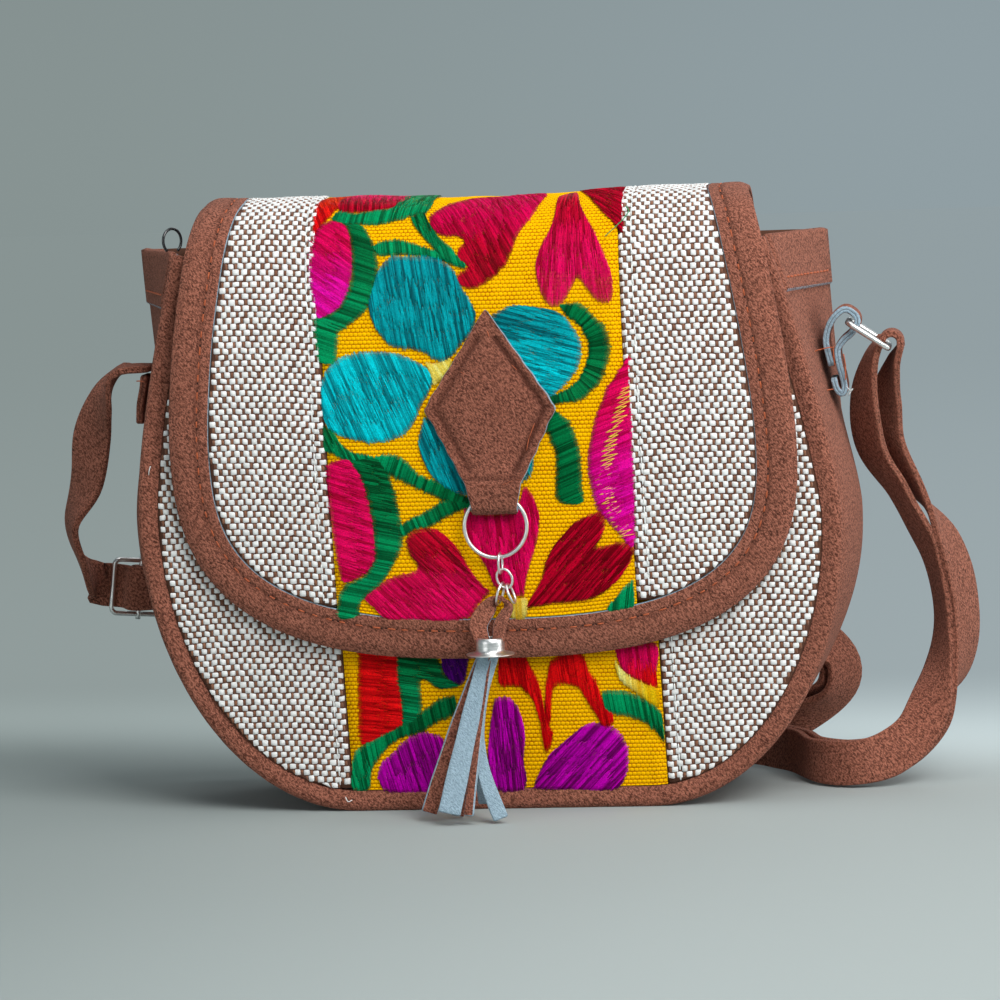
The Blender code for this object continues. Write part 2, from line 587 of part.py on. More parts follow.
def build_flap(linen, band_cloth, suede):
    """The two linen sides and the embroidered band of the flap, and the suede strip round their edge."""
    outline, out = flap_outline()
    shares = np.array([0.0, 0.12, 0.5, 1.0])
    lifts = FLAP_BINDING_THICK * np.array([0.6, 0.95, 1.0, 0.9])
    line = outline[:, None] - out[:, None] * (FLAP_BINDING_WIDTH * shares)[None, :, None]
    run = np.clip(line[..., 1], 0.0, FLAP_LENGTH)
    run[0] = 0.0
    run[-1] = 0.0
    outer = flap_point(line[..., 0], run, lifts[None] + 0 * run)
    wall("flap_binding", outer, flap_point(line[..., 0], run, 0 * run), suede)

    lift = FLAP_BINDING_THICK - 0.0005
    width = FLAP_BINDING_WIDTH + GAP
    left_x = FLAP_BAND_OFFSET - FLAP_BAND_HALF
    right_x = FLAP_BAND_OFFSET + FLAP_BAND_HALF
    edge = inset(outline, out, width)
    edge[0, 1] = 0.0
    for name, side, stop in (("flap_left", 1, left_x), ("flap_right", -1, -right_x)):
        part = edge[edge[:, 0] < stop - 0.003]
        x, run = side_panel_grid(part, stop - GAP / 2, 5)
        face = flap_point(side * x, run, lift + 0 * x)
        wall(name, face, flap_point(side * x, run, lift - LINEN_WALL + 0 * x), linen)
    low = edge[(edge[:, 0] > left_x - 0.02) & (edge[:, 0] < right_x + 0.02) & (edge[:, 1] > 0.5 * FLAP_LENGTH)]
    columns = np.linspace(left_x + GAP / 2, right_x - GAP / 2, 9)
    ends = np.interp(columns, low[:, 0], low[:, 1])
    share = np.linspace(0.0, 1.0, 22)[:, None]
    run = share * ends[None]
    x = np.broadcast_to(columns, run.shape)
    face = flap_point(x, run, lift - BAND_RECESS + 0 * x)
    wall("flap_band", face, flap_point(x, run, lift - LINEN_WALL + 0 * x), band_cloth)


# Kite, ring, chain and tassel


def kite_run(drop):
    """Run down the flap of a place on the kite, given as a share of its height from its top."""
    return run_at_height(KITE_BOTTOM_RISE + 0.053 + KITE_HEIGHT * (1 - drop))


def build_kite(suede):
    """A kite of suede sewn to the flap, its lower end folded under into a tab that holds the ring."""
    base = FLAP_BINDING_THICK - 0.0005 + GAP + SUEDE_TRIM / 2
    tunnel = SUEDE_TRIM + KITE_TUNNEL
    rows = []
    for section in KITE_SECTIONS:
        lift = base + section["layers"] / 2.2 * tunnel
        rows.append((kite_run(section["drop"]), lift, section["half"] * KITE_HALF))
    fold_run = kite_run(0.972)
    for turn in np.radians([45.0, 90.0, 135.0]):
        run = fold_run + math.sin(turn) * tunnel / 2
        rows.append((run, base + tunnel / 2 + math.cos(turn) * tunnel / 2, 0.335 * KITE_HALF))
    for section in KITE_TAIL:
        rows.append((kite_run(section["drop"]), base, section["half"] * KITE_HALF))
    rows = np.array(rows)
    centre = flap_point(KITE_OFFSET + 0 * rows[:, 0], rows[:, 0], rows[:, 1])
    across = np.broadcast_to([1.0, 0.0, 0.0], centre.shape)
    loft("kite_patch", ribbon_sections(centre, across, rows[:, 2], SUEDE_TRIM), suede, smooth_angle=30.0)


def ring_centre():
    """The big ring hangs in the fold of the tab, parallel to the flap."""
    base = FLAP_BINDING_THICK - 0.0005 + GAP + SUEDE_TRIM
    inner_run = kite_run(0.972) + KITE_TUNNEL / 2
    place = flap_point(np.array(KITE_OFFSET), np.array(inner_run), np.array(base + KITE_TUNNEL / 2))
    half_tab = 0.345 * KITE_HALF
    slant = math.sqrt(RING_RADIUS**2 - half_tab**2) / RING_RADIUS
    drop = slant * RING_RADIUS - RING_WIRE / 2 / slant - 2 * GAP
    return place - np.array([0.0, 0.0, drop])


def unit_of(vector):
    """One direction as an array of length one."""
    return unit(np.array(vector, dtype=float))


def hang_place(centre, ways, turn):
    """Where the top of a link's wire sits inside another link, turn radians round from that link's low end."""
    long_way = unit_of(ways[0])
    wide_way = np.array(ways[1], dtype=float)
    wide_way = unit(wide_way - long_way * np.dot(wide_way, long_way))
    rim = -math.cos(turn) * LINK_HALF_LENGTH * long_way - math.sin(turn) * LINK_HALF_WIDTH * wide_way
    out = -math.cos(turn) / LINK_HALF_LENGTH * long_way - math.sin(turn) / LINK_HALF_WIDTH * wide_way
    return centre + rim - unit(out) * LINK_SEAT


def build_ring_and_chain(steel):
    """The round ring, and four small oval links that hang on it and on each other."""
    centre = ring_centre()
    round_path = oval_path(centre, RING_RADIUS, RING_RADIUS, (0, 0.02, 1), (1, 0, 0), 28)
    wire_loop("o_ring", round_path, RING_WIRE, steel)
    low = centre + np.array([0.0012, 0.0, -RING_RADIUS])
    seat = (RING_WIRE + LINK_WIRE) / 2 + GAP
    first = low + np.array([0.0, -0.0002, seat - LINK_HALF_LENGTH])
    first_way = ((0, 0.05, 1), (0.15, 1, 0))
    second_way = ((-0.40, 0, 1), (1, -0.15, 0))
    third_way = ((-0.38, 0.1, 1), (0.2, 1, 0))
    second = first - np.array([0, 0, LINK_HALF_LENGTH - LINK_SEAT]) - LINK_HALF_LENGTH * unit_of(second_way[0])
    third = hang_place(second, second_way, -0.10) - LINK_HALF_LENGTH * unit_of(third_way[0])
    for number, (place, way) in enumerate(((first, first_way), (second, second_way), (third, third_way)), 1):
        path = oval_path(place, LINK_HALF_LENGTH, LINK_HALF_WIDTH, way[0], way[1])
        wire_loop(f"chain_link_{number}", path, LINK_WIRE, steel)
    return hang_place(second, second_way, 1.05)


def united(name, parts, finish):
    """One closed body from overlapping parts, the first of them kept."""
    kept = parts[0]
    for other in parts[1:]:
        joint = kept.modifiers.new("join", "BOOLEAN")
        joint.operation = "UNION"
        joint.object = other
        bpy.context.view_layer.update()
        graph = bpy.context.evaluated_depsgraph_get()
        solid = bpy.data.meshes.new_from_object(kept.evaluated_get(graph))
        kept.modifiers.remove(joint)
        kept.data = solid
    for other in parts[1:]:
        bpy.data.objects.remove(other)
    kept.name = name
    kept.data.name = name
    kept.data.materials.clear()
    kept.data.materials.append(finish)
    return kept


def build_tassel(jump_top, suede, steel):
    """A suede loop and six strips gathered in a head, with a spun metal cap round it."""
    jump_way = unit_of((0.30, 0.15, 1.0))
    jump = jump_top - jump_way * JUMP_HALF_LENGTH
    path = oval_path(jump, JUMP_HALF_LENGTH, JUMP_HALF_WIDTH, jump_way, (0.25, 1.0, 0.0))
    wire_loop("chain_link_4", path, LINK_WIRE, steel)

    crook = jump - jump_way * (JUMP_HALF_LENGTH - LINK_WIRE / 2 - TASSEL_STRIP_THICK / 2 - 0.0013)
    head_top = crook[2] - LOOP_HEIGHT
    head_x = crook[0] - 0.0030
    flap_face = flap_point(np.array(head_x), np.array(run_at_height(head_top)), np.array(FLAP_BINDING_THICK))
    head_y = float(flap_face[1]) - CAP_BRIM_RADIUS - 3 * GAP
    back = crook[1] - head_y
    # Loop: side and depth from the head's axis, height as a share of LOOP_HEIGHT, half width of the strip
    to_crook = crook[0] - head_x
    loop_rows = [
        (-0.0016, 0.0, -0.20, 0.0022),
        (-0.0018, 0.0, 0.05, 0.0023),
        (-0.0036, 0.30 * back, 0.36, 0.0028),
        (to_crook - 0.0032, 0.85 * back, 0.80, 0.0014),
        (to_crook, back, 1.00, 0.0010),
        (to_crook + 0.0032, 0.85 * back, 0.78, 0.0014),
        (0.0040, 0.30 * back, 0.36, 0.0028),
        (0.0018, 0.0, 0.05, 0.0023),
        (0.0016, 0.0, -0.20, 0.0022),
    ]
    rows = [(head_x + x, head_y + y, head_top + z * LOOP_HEIGHT, half) for x, y, z, half in loop_rows]
    loop_path = curve_through(rows, 0.0022)
    centre = loop_path[:, :3]
    across = np.broadcast_to([0.25, 1.0, 0.0], centre.shape)
    parts = [loft("loop", ribbon_sections(centre, across, loop_path[:, 3], TASSEL_STRIP_THICK), suede)]

    head = CAP_RADIUS - CAP_WALL - GAP
    turn = np.arange(12) * 2 * math.pi / 12
    disc = np.column_stack([np.cos(turn), np.sin(turn), 0 * turn]) * head
    levels = head_top + np.array([-CAP_HEIGHT - 0.0012, -0.0002])
    middle = np.array([head_x, head_y, 0.0])
    stack = np.stack([disc + middle + (0, 0, level) for level in levels])
    parts.insert(0, loft("head", stack, suede))

    start = head_top - CAP_HEIGHT
    count = len(TASSEL_STRIPS)
    for number, strip in enumerate(TASSEL_STRIPS):
        share = np.linspace(0.0, 1.0, 6)
        first_x = head_x + (number / (count - 1) - 0.5) * head * 0.75
        first_y = head_y - head * 0.32 * (1 if number % 2 else -1)
        length = strip["length"] * TASSEL_LENGTH
        x = first_x + TASSEL_LENGTH * (strip["side"] * share + strip["bow"] * np.sin(math.pi * share))
        y = first_y + TASSEL_LENGTH * strip["depth"] * share**1.3
        z = start + 0.001 - (length + 0.001) * share
        spread = math.radians(strip["turn"])
        width_way = np.broadcast_to([math.cos(spread), math.sin(spread), 0.0], (6, 3))
        widths = strip["width"] / 2 * (0.42 + 0.58 * share**0.5)
        body = ribbon_sections(np.column_stack([x, y, z]), width_way, widths, TASSEL_STRIP_THICK)
        parts.append(loft(f"strip_{number}", body, suede))
    tassel = united("tassel", parts, suede)

    turn = np.arange(20) * 2 * math.pi / 20
    outer = CAP_RADIUS
    inner = CAP_RADIUS - CAP_WALL
    low = head_top - CAP_HEIGHT
    profile = [
        (inner, head_top),
        (outer, head_top),
        (outer, low + 0.0010),
        (CAP_BRIM_RADIUS, low),
        (CAP_BRIM_RADIUS, low - CAP_WALL),
        (inner, low - CAP_WALL),
    ]
    rings = np.array([[(r * math.cos(a), r * math.sin(a), z) for r, z in profile] for a in turn])
    loft("tassel_cap", rings + middle, steel, closed=True, smooth_angle=30.0)
    return tassel


# Strap, tabs and frames


def route_rows(table):
    """A route table as x, y, z in metres, the width direction and the spread in metres."""
    return [
        (
            row["x"] * BODY_HALF,
            row["y"] * HALF_DEPTH,
            row["z"] * BODY_HEIGHT,
            row["wide_x"],
            row["wide_y"],
            row["wide_z"],
            row.get("spread", 0.0) * STRAP_THICK,
        )
        for row in table
    ]


def slide_rows(place, along, ahead, rows):
    """Points round the slide's middle bar, from pairs of distance along the strap and ahead of the bar."""
    return np.array([place + along * run + ahead * rise for run, rise in rows])


def hung_route():
    """The doubled strap's rows, the upper ones moved so that its crest sits over the ring's outer bar."""
    rows = np.array(route_rows(STRAP_ROUTE))
    bar = frame_ends()[1]
    crest = bar + np.array([CREST_OUT, 0.0, CREST_RISE])
    share = rows[:, 2] / rows[-1, 2]
    near = smooth_step((share - (1 - CREST_REACH)) / CREST_REACH) * (np.arange(len(rows)) > len(rows) / 2)
    rows[:, :3] += near[:, None] * (crest - rows[-1, :3])
    return rows


def build_strap(suede):
    """One ribbon: out from the slide as one layer, over the ring at the right, back as the other, then to the left."""
    doubled = curve_through(hung_route(), STRAP_STEP)
    centre, spread = doubled[:, :3], doubled[:, 6]
    run = unit(np.gradient(centre, axis=0))
    across = unit(doubled[:, 3:6] - run * np.sum(doubled[:, 3:6] * run, axis=1, keepdims=True))
    side = np.cross(run, across) * spread[:, None] / 2
    side *= -np.sign(side[0, 1])
    first, second = centre - side, centre + side
    crest = centre[-1]
    half = (second[-1, 0] - first[-1, 0]) / 2
    angles = np.linspace(math.pi, 0.0, 9)[1:-1]
    rise = abs(half) * np.sin(angles)
    bow = np.column_stack([crest[0] + half * np.cos(angles), crest[1] + 0 * angles, crest[2] + rise])
    along = unit(centre[1] - centre[0])
    ahead = unit(side[0])
    bar = centre[0] - along * SLIDE_RUN + ahead * (BAR_SEAT + np.linalg.norm(side[0]))
    turned_end = [(0.0010, BAR_SEAT), (-0.0016, 0.0018), (-BAR_SEAT, 0.0), (-0.0016, -0.0019), (0.0006, -0.0027)]
    hook = slide_rows(bar, along, ahead, turned_end)
    top = BAR_SEAT + STRAP_THICK + GAP
    over_bar = [(0.0102, -0.0029), (0.0056, -0.0005), (0.0039, 0.0041), (0.0, top)]
    over_bar += [(-0.0039, 0.0041), (-0.0056, -0.0005), (-0.0102, -0.0029)]
    thread = slide_rows(bar, along, ahead, over_bar)
    thread = curve_through(np.vstack([second[:1], thread, thread[-1:] - 0.004 * along - 0.0003 * ahead]), 0.0026)
    left = curve_through(route_rows(STRAP_LEFT_ROUTE), STRAP_STEP)
    path = np.vstack([hook, first, bow, second[:0:-1], thread, left[1:, :3]])
    level = np.tile([0.0, 1.0, 0.0], (len(bow), 1))
    at_hook = np.tile(across[0], (len(hook), 1))
    at_thread = np.tile(across[0], (len(thread), 1))
    width_way = np.vstack([at_hook, across, level, across[:0:-1], at_thread, left[1:, 3:6]])
    flip = np.cumprod(np.where(np.sum(width_way[1:] * width_way[:-1], axis=1) < 0, -1.0, 1.0))
    width_way[1:] *= flip[:, None]
    loft("strap", ribbon_sections(path, width_way, STRAP_WIDTH / 2, STRAP_THICK), suede, smooth_angle=35.0)
    return bar, along, across[0]


def tab_path(table, side):
    """A tab's path, measured out from the gusset at one side."""
    rows = []
    for row in table:
        z = row["z"] * BODY_HEIGHT
        foot = float(gusset_outer(side, z))
        rows.append((foot + side * (row["out"] * BODY_HALF + GAP), 0.0, z))
    return curve_through(rows, 0.0028)


def build_tabs(suede):
    """The doubled suede strips sewn to the gusset: the right one loops round the ring, the left one is a keeper."""
    for name, table, side in (("right_tab", RIGHT_TAB_PATH, 1), ("left_tab", LEFT_TAB_PATH, -1)):
        path = tab_path(table, side)
        across = np.broadcast_to([0.0, 1.0, 0.0], path.shape)
        loft(name, ribbon_sections(path, across, TAB_WIDTH / 2, TAB_THICK), suede, smooth_angle=35.0)


def frame_ends():
    """The middles of the right ring's two long bars: the inner one in the tab, the outer one in the strap."""
    seat_z = FRAME_SEAT_RISE * BODY_HEIGHT
    inner = np.array([float(gusset_outer(1, seat_z)) + FRAME_SEAT_OUT * BODY_HALF, 0.0, seat_z])
    return inner, inner + unit_of(FRAME_WAY) * (FRAME_LENGTH - FRAME_WIRE)


def build_frames(steel):
    """The rectangular ring at the right tab and the wire slide on the strap at the left."""
    inner, outer = frame_ends()
    half_wide = STRAP_WIDTH / 2 + FRAME_CLEARANCE + FRAME_WIRE / 2
    depth = np.array([0.0, 1.0, 0.0])
    reach = np.linalg.norm(outer - inner)
    path = frame_path((inner + outer) / 2, reach / 2, half_wide, unit(outer - inner), depth, FRAME_WIRE * 1.2)
    wire_loop("right_ring", path, FRAME_WIRE, steel, sides=8)


def build_slide(steel, bar, along, across):
    """The wire slide: a frame whose middle bar the strap's end is sewn round, its ends standing out a little."""
    half_long = STRAP_WIDTH / 2 + FRAME_CLEARANCE + SLIDE_WIRE / 2
    path = frame_path(bar, half_long, SLIDE_LENGTH / 2, across, along, SLIDE_WIRE * 1.2)
    frame = wire_loop("frame", path, SLIDE_WIRE, steel, sides=8)
    out = np.cross(across, along)
    turn = np.arange(8) * math.pi / 4 + 0.2
    section = (np.cos(turn)[:, None] * along + np.sin(turn)[:, None] * out) * SLIDE_WIRE * 0.55
    reach = half_long + SLIDE_WIRE
    levels = bar + np.array([-reach, reach])[:, None] * across
    middle_bar = loft("bar", levels[:, None] + section[None], steel)
    united("strap_slide", [frame, middle_bar], steel)


def build_pull_ring(black):
    """A small loop of black wire that stands on the left hem, near its front end."""
    half = side_half(BODY_HEIGHT, FRONT_TOP_HALF) * (1 - PULL_PLACE) + side_half(BODY_HEIGHT, BACK_TOP_HALF) * PULL_PLACE
    foot_x = float(leaned(-half, BODY_HEIGHT, MOUTH_LEAN)) + SUEDE_WALL * 0.6
    foot_y = (edge_depth(BODY_HEIGHT) - (BINDING_DEPTH - BINDING_PROUD) - GAP) * (2 * PULL_PLACE - 1)
    turn = np.linspace(-0.30 * math.pi, 1.30 * math.pi, 15)
    rise = BODY_HEIGHT + GAP + PULL_WIRE / 2 + PULL_RADIUS * math.sin(0.30 * math.pi)
    centre = np.array([foot_x, foot_y, rise])
    ways = unit_of((PULL_TURN[0], PULL_TURN[1], 0.0))
    path = centre + np.cos(turn)[:, None] * PULL_RADIUS * ways + np.outer(np.sin(turn), [0, 0, PULL_RADIUS])
    along = unit(np.gradient(path, axis=0))
    side = unit(np.cross(along, [ways[1], -ways[0], 0.0]))
    flat = np.cross(along, side)
    spin = np.arange(6) * math.pi / 3
    ring = np.cos(spin)[None, :, None] * side[:, None] + np.sin(spin)[None, :, None] * flat[:, None]
    loft("pull_ring", path[:, None] + ring * PULL_WIRE / 2, black)


def main():
    clear_scene()
    suede = finish_material("brown suede", SUEDE_BROWN, 0.95)
    linen = finish_material("two-colour linen", LINEN_COLOUR, 0.9)
    band_cloth = finish_material("yellow embroidered cotton", BAND_COLOUR, 0.85)
    steel = finish_material("polished steel", STEEL_COLOUR, 0.18, 1.0)
    fringe = finish_material("pale suede", PALE_SUEDE, 0.95)
    black = finish_material("black wire", BLACK_WIRE, 0.4)
    build_gusset(suede)
    build_body_binding("front_binding", FRONT_TOP_HALF, -1, suede)
    build_body_binding("back_binding", BACK_TOP_HALF, 1, suede)
    build_front(linen, band_cloth)
    build_back(linen)
    build_flap(linen, band_cloth, suede)
    build_kite(suede)
    side_of_second = build_ring_and_chain(steel)
    build_tassel(side_of_second, fringe, steel)
    build_tabs(suede)
    build_frames(steel)
    bar, along, across = build_strap(suede)
    build_slide(steel, bar, along, across)
    build_pull_ring(black)


main()
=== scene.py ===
"""Embroidered crossbody bag on a pale floor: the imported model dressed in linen, cotton, suede and nickel."""

import math

import bmesh
import bpy
import numpy as np
from mathutils import Matrix, Vector


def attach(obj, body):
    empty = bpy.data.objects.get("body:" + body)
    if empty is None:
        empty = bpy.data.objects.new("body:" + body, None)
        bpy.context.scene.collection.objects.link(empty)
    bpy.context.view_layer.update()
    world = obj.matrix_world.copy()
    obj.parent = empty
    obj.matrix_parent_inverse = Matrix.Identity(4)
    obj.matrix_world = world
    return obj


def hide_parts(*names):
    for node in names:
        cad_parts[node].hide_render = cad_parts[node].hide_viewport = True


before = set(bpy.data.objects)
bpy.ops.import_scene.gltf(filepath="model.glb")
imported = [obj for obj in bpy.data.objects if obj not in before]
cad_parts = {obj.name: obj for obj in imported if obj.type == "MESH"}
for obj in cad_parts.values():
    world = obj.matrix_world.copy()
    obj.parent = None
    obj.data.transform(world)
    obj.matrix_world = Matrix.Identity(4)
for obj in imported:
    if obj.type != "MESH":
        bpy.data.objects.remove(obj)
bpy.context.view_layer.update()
chance = np.random.default_rng(7)


# Camera. It looks at the front through a long lens from a little to the right and above, rolled by two
# degrees.

VIEW_TARGET = (0.0050, -0.0380, 0.1066)
VIEW_DISTANCE = 1.5
VIEW_TURN = 6.5
VIEW_RISE = 5.5
VIEW_ROLL = 2.0
VIEW_LENS = 158.8
VIEW_SENSOR = 36.0
VIEW_REACH = 20.0


def aim(holder, distance, turn, rise, roll=0.0):
    """Points a camera or lamp at the view's target from a distance, turned about +Z and raised."""
    turn, rise, roll = np.radians([turn, rise, roll])
    away = Vector((math.sin(turn) * math.cos(rise), -math.cos(turn) * math.cos(rise), math.sin(rise)))
    right = Vector((math.cos(turn), math.sin(turn), 0.0))
    up = away.cross(right)
    across = right * math.cos(roll) - up * math.sin(roll)
    top = right * math.sin(roll) + up * math.cos(roll)
    place = Matrix((across, top, away)).transposed().to_4x4()
    place.translation = Vector(VIEW_TARGET) + away * distance
    holder.matrix_world = place


lens = bpy.data.cameras.new("camera")
lens.lens = VIEW_LENS
lens.sensor_width = VIEW_SENSOR
lens.clip_end = VIEW_REACH
camera = bpy.data.objects.new("camera", lens)
bpy.context.scene.collection.objects.link(camera)
bpy.context.scene.camera = camera
aim(camera, VIEW_DISTANCE, VIEW_TURN, VIEW_RISE, VIEW_ROLL)
bpy.context.scene.view_settings.view_transform = "Standard"


# Light and floor. One large soft box high at the right, weaker ones at the left, above, beside and behind,
# a grey-blue room round them, and a wide pale floor with painted shade towards its left. A little way behind
# the bag the floor turns near black and glows grey-blue with painted light, darker at its left.

LAMPS = [
    {"name": "key", "turn": 38.0, "rise": 42.0, "distance": 1.5, "size": 0.9, "power": 19.5},
    {"name": "fill", "turn": -35.0, "rise": 6.0, "distance": 1.8, "size": 1.0, "power": 5.0},
    {"name": "top", "turn": 10.0, "rise": 80.0, "distance": 1.4, "size": 0.9, "power": 5.0},
    {"name": "side", "turn": 88.0, "rise": 12.0, "distance": 1.5, "size": 0.8, "power": 6.5},
    {"name": "back", "turn": 165.0, "rise": 35.0, "distance": 1.8, "size": 1.0, "power": 4.0},
]
ROOM_LOW = (0.250, 0.290, 0.310, 1.0)
ROOM_MIDDLE_LEFT = (0.244, 0.292, 0.288, 1.0)
ROOM_MIDDLE = (0.282, 0.345, 0.370, 1.0)
ROOM_HIGH = (0.170, 0.205, 0.222, 1.0)
FLOOR_PALE = (0.395, 0.438, 0.428, 1.0)
FLOOR_SHADED_LEFT = (0.270, 0.312, 0.300, 1.0)
FAR_GLOW_SHADED_LEFT = (0.225, 0.268, 0.262, 1.0)
FAR_GLOW_RIGHT = (0.265, 0.318, 0.335, 1.0)
FAR_BARE = (0.060, 0.066, 0.066, 1.0)
NO_GLOW = (0.0, 0.0, 0.0, 1.0)
FLOOR_HALF = 6.0
# The camera's place beside and before the bag, and the slope out to the left edge of the picture
VIEW_SIDE = 0.17
VIEW_BACK = 1.5
VIEW_SPAN = -0.226
# Where one colour turns into the next: slopes of the room's air, then places on the floor in metres
LOW_TO_MIDDLE = (-0.06, -0.04)
MIDDLE_TO_HIGH = (-0.02, 0.20)
SHADED_LEFT_TO_PALE = (-0.30, 0.10)
NEAR_TO_GLOW = (-0.02, 0.21)
NEAR_TO_BARE = (0.03, 0.30)
FAR_SLANT = 0.20


class Shade:
    """One socket of a tree of nodes. Arithmetic between these adds Math nodes, and node() any other."""

    def __init__(self, tree, socket=None):
        self.tree = tree
        self.socket = socket

    def node(self, kind, settings, inputs, output=0):
        """A node of this type, with its settings made before its inputs get their values or links."""
        made = self.tree.nodes.new(kind)
        for name, value in settings.items():
            setattr(made, name, value)
        for name, value in inputs.items():
            if isinstance(value, Shade):
                self.tree.links.new(value.socket, made.inputs[name])
            else:
                made.inputs[name].default_value = value
        return Shade(self.tree, made.outputs[output])

    def math(self, operation, *values):
        """A Math node of these values, which may be shades or numbers."""
        return self.node("ShaderNodeMath", {"operation": operation}, dict(enumerate(values)))

    def __add__(self, other):
        return self.math("ADD", self, other)

    def __sub__(self, other):
        return self.math("SUBTRACT", self, other)

    def __rsub__(self, other):
        return self.math("SUBTRACT", other, self)

    def __mul__(self, other):
        return self.math("MULTIPLY", self, other)

    def __truediv__(self, other):
        return self.math("DIVIDE", self, other)

    def __pow__(self, other):
        return self.math("POWER", self, other)

    def between(self, low, high):
        """0 where the value is below low, 1 above high, and a smooth rise between."""
        return self.node(
            "ShaderNodeMapRange", {"interpolation_type": "SMOOTHSTEP"}, {0: self, 1: low, 2: high}
        )

    def mixed(self, first, second):
        """The first colour where this mask is 0 and the second where it is 1."""
        return self.node("ShaderNodeMix", {"data_type": "RGBA"}, {0: self, 6: first, 7: second}, 2)

    def part(self, axis):
        """One part of a vector: 0 across, 1 in depth, 2 up."""
        return self.node("ShaderNodeSeparateXYZ", {}, {0: self}, axis)

    def ribs(self):
        """The absolute sine of the value: a row of round ribs, one every pi."""
        return self.math("ABSOLUTE", self.math("SINE", self))

    def place(self):
        """The place on the bag in metres."""
        return self.node("ShaderNodeTexCoord", {}, {}, "Object")

    def noise(self, size, detail=2.0, stretch=(1.0, 1.0, 1.0), roughness=0.55, turned=(0.0, 0.0, 0.0)):
        """Cloudy noise from 0 to 1 whose clouds are about size metres across, turned and then stretched."""
        where = self.node("ShaderNodeMapping", {}, {"Vector": self.place(), "Rotation": turned})
        where = self.node("ShaderNodeVectorMath", {"operation": "MULTIPLY"}, {0: where, 1: stretch})
        inputs = {"Vector": where, "Scale": 1.0 / size, "Detail": detail, "Roughness": roughness}
        return self.node("ShaderNodeTexNoise", {}, inputs)

    def kept(self, name, output="Fac"):
        """A value kept on the mesh under this name."""
        return self.node("ShaderNodeAttribute", {"attribute_name": name}, {}, output)

    def raised(self, height, distance, strength=1.0):
        """Normals bent by a height from 0 to 1 that stands for this many metres."""
        inputs = {"Height": height, "Distance": distance, "Strength": strength}
        return self.node("ShaderNodeBump", {}, inputs)


def new_finish(name, **uniform):
    """A Principled material with these values on its own sockets, and a Shade of its nodes."""
    made = bpy.data.materials.new(name)
    made.use_nodes = True
    shader = made.node_tree.nodes["Principled BSDF"]
    for socket, value in uniform.items():
        shader.inputs[socket.replace("_", " ")].default_value = value
    return made, shader, Shade(made.node_tree)


def feed(shader, **links):
    """Links shades to the sockets of a material's shader."""
    for socket, value in links.items():
        value.tree.links.new(value.socket, shader.inputs[socket.replace("_", " ")])


def mottled(name, first, second, size, detail=1.0, **uniform):
    """A material mottled from a first colour to a second by noise with clouds about size metres wide."""
    made, shader, shade = new_finish(name, **uniform)
    feed(shader, Base_Color=shade.noise(size, detail).mixed(first, second))
    return made


for lamp in LAMPS:
    light = bpy.data.lights.new(lamp["name"], "AREA")
    light.shape = "SQUARE"
    light.size = lamp["size"]
    light.energy = lamp["power"]
    holder = bpy.data.objects.new(lamp["name"], light)
    bpy.context.scene.collection.objects.link(holder)
    aim(holder, lamp["distance"], lamp["turn"], lamp["rise"])

room = bpy.data.worlds.new("room")
bpy.context.scene.world = room
room.use_nodes = True
air = Shade(room.node_tree)
way = air.node("ShaderNodeTexCoord", {}, {}, "Generated")
middle = way.part(0).between(VIEW_SPAN, 0.0).mixed(ROOM_MIDDLE_LEFT, ROOM_MIDDLE)
middle = way.part(2).between(*MIDDLE_TO_HIGH).mixed(middle, ROOM_HIGH)
room_colour = way.part(2).between(*LOW_TO_MIDDLE).mixed(ROOM_LOW, middle)
room.node_tree.links.new(room_colour.socket, room.node_tree.nodes["Background"].inputs["Color"])

floor_finish, floor_shader, floor_shade = new_finish(
    "floor", Roughness=0.85, Specular_IOR_Level=0.2, Emission_Strength=1.0
)
spot = floor_shade.place()
spot_x, spot_y = spot.part(0), spot.part(1)
# Painted shade: the floor is darker towards its left.
floor_with_painted_shade = spot_x.between(*SHADED_LEFT_TO_PALE).mixed(FLOOR_SHADED_LEFT, FLOOR_PALE)
# Painted light: behind the bag the floor's own colour turns near black and it glows grey-blue, as a lit
# backdrop looks, with painted shade towards the left.
slope = (spot_x - VIEW_SIDE) / (spot_y + VIEW_BACK)
painted_far_glow = slope.between(VIEW_SPAN, 0.0).mixed(FAR_GLOW_SHADED_LEFT, FAR_GLOW_RIGHT)
glow = (spot_y + spot_x * FAR_SLANT).between(*NEAR_TO_GLOW)
glow = glow**2 * (3 - glow * 2)
feed(
    floor_shader,
    Base_Color=spot_y.between(*NEAR_TO_BARE).mixed(floor_with_painted_shade, FAR_BARE),
    Emission_Color=glow.mixed(NO_GLOW, painted_far_glow),
)
floor_mesh = bpy.data.meshes.new("floor")
corners = [(x * FLOOR_HALF, y * FLOOR_HALF, 0.0) for x, y in ((-1, -1), (1, -1), (1, 1), (-1, 1))]
floor_mesh.from_pydata(corners, [], [(0, 1, 2, 3)])
floor_mesh.materials.append(floor_finish)
floor = bpy.data.objects.new("floor", floor_mesh)
bpy.context.scene.collection.objects.link(floor)


# Gusset: one strip of brown suede round the sides and base, turned over in a hem at each top.
# The hem is sewn with orange thread, and its raw edge shows the pale flesh side of the suede.

BODY_HALF = 0.1208
BODY_HEIGHT = 0.193
BASE_HALF = 0.050
CORNER_HEIGHT = 0.100
FRONT_TOP_HALF = 0.1022
BACK_TOP_HALF = 0.1205
HALF_DEPTH = 0.035
MOUTH_PINCH = 0.010
GUSSET_BULGE = 0.0058
BODY_LEAN = -0.030
MOUTH_LEAN = -0.055
SUEDE_WALL = 0.0020
BINDING_WIDTH = 0.0069
BINDING_DEPTH = 0.0050
BINDING_PROUD = 0.0015
HEM_HEIGHT = 0.0185
HEM_PROUD = 0.0011
HEM_RAMP = 0.0010
HEM_STITCH_HEIGHT = 0.0042
HEM_PALE = 0.52
GAP = 0.0003
# How far the rim of a wall bows out, as a share of the wall
SOFT_RIM = 0.25
SEWN_RIM = 0.04
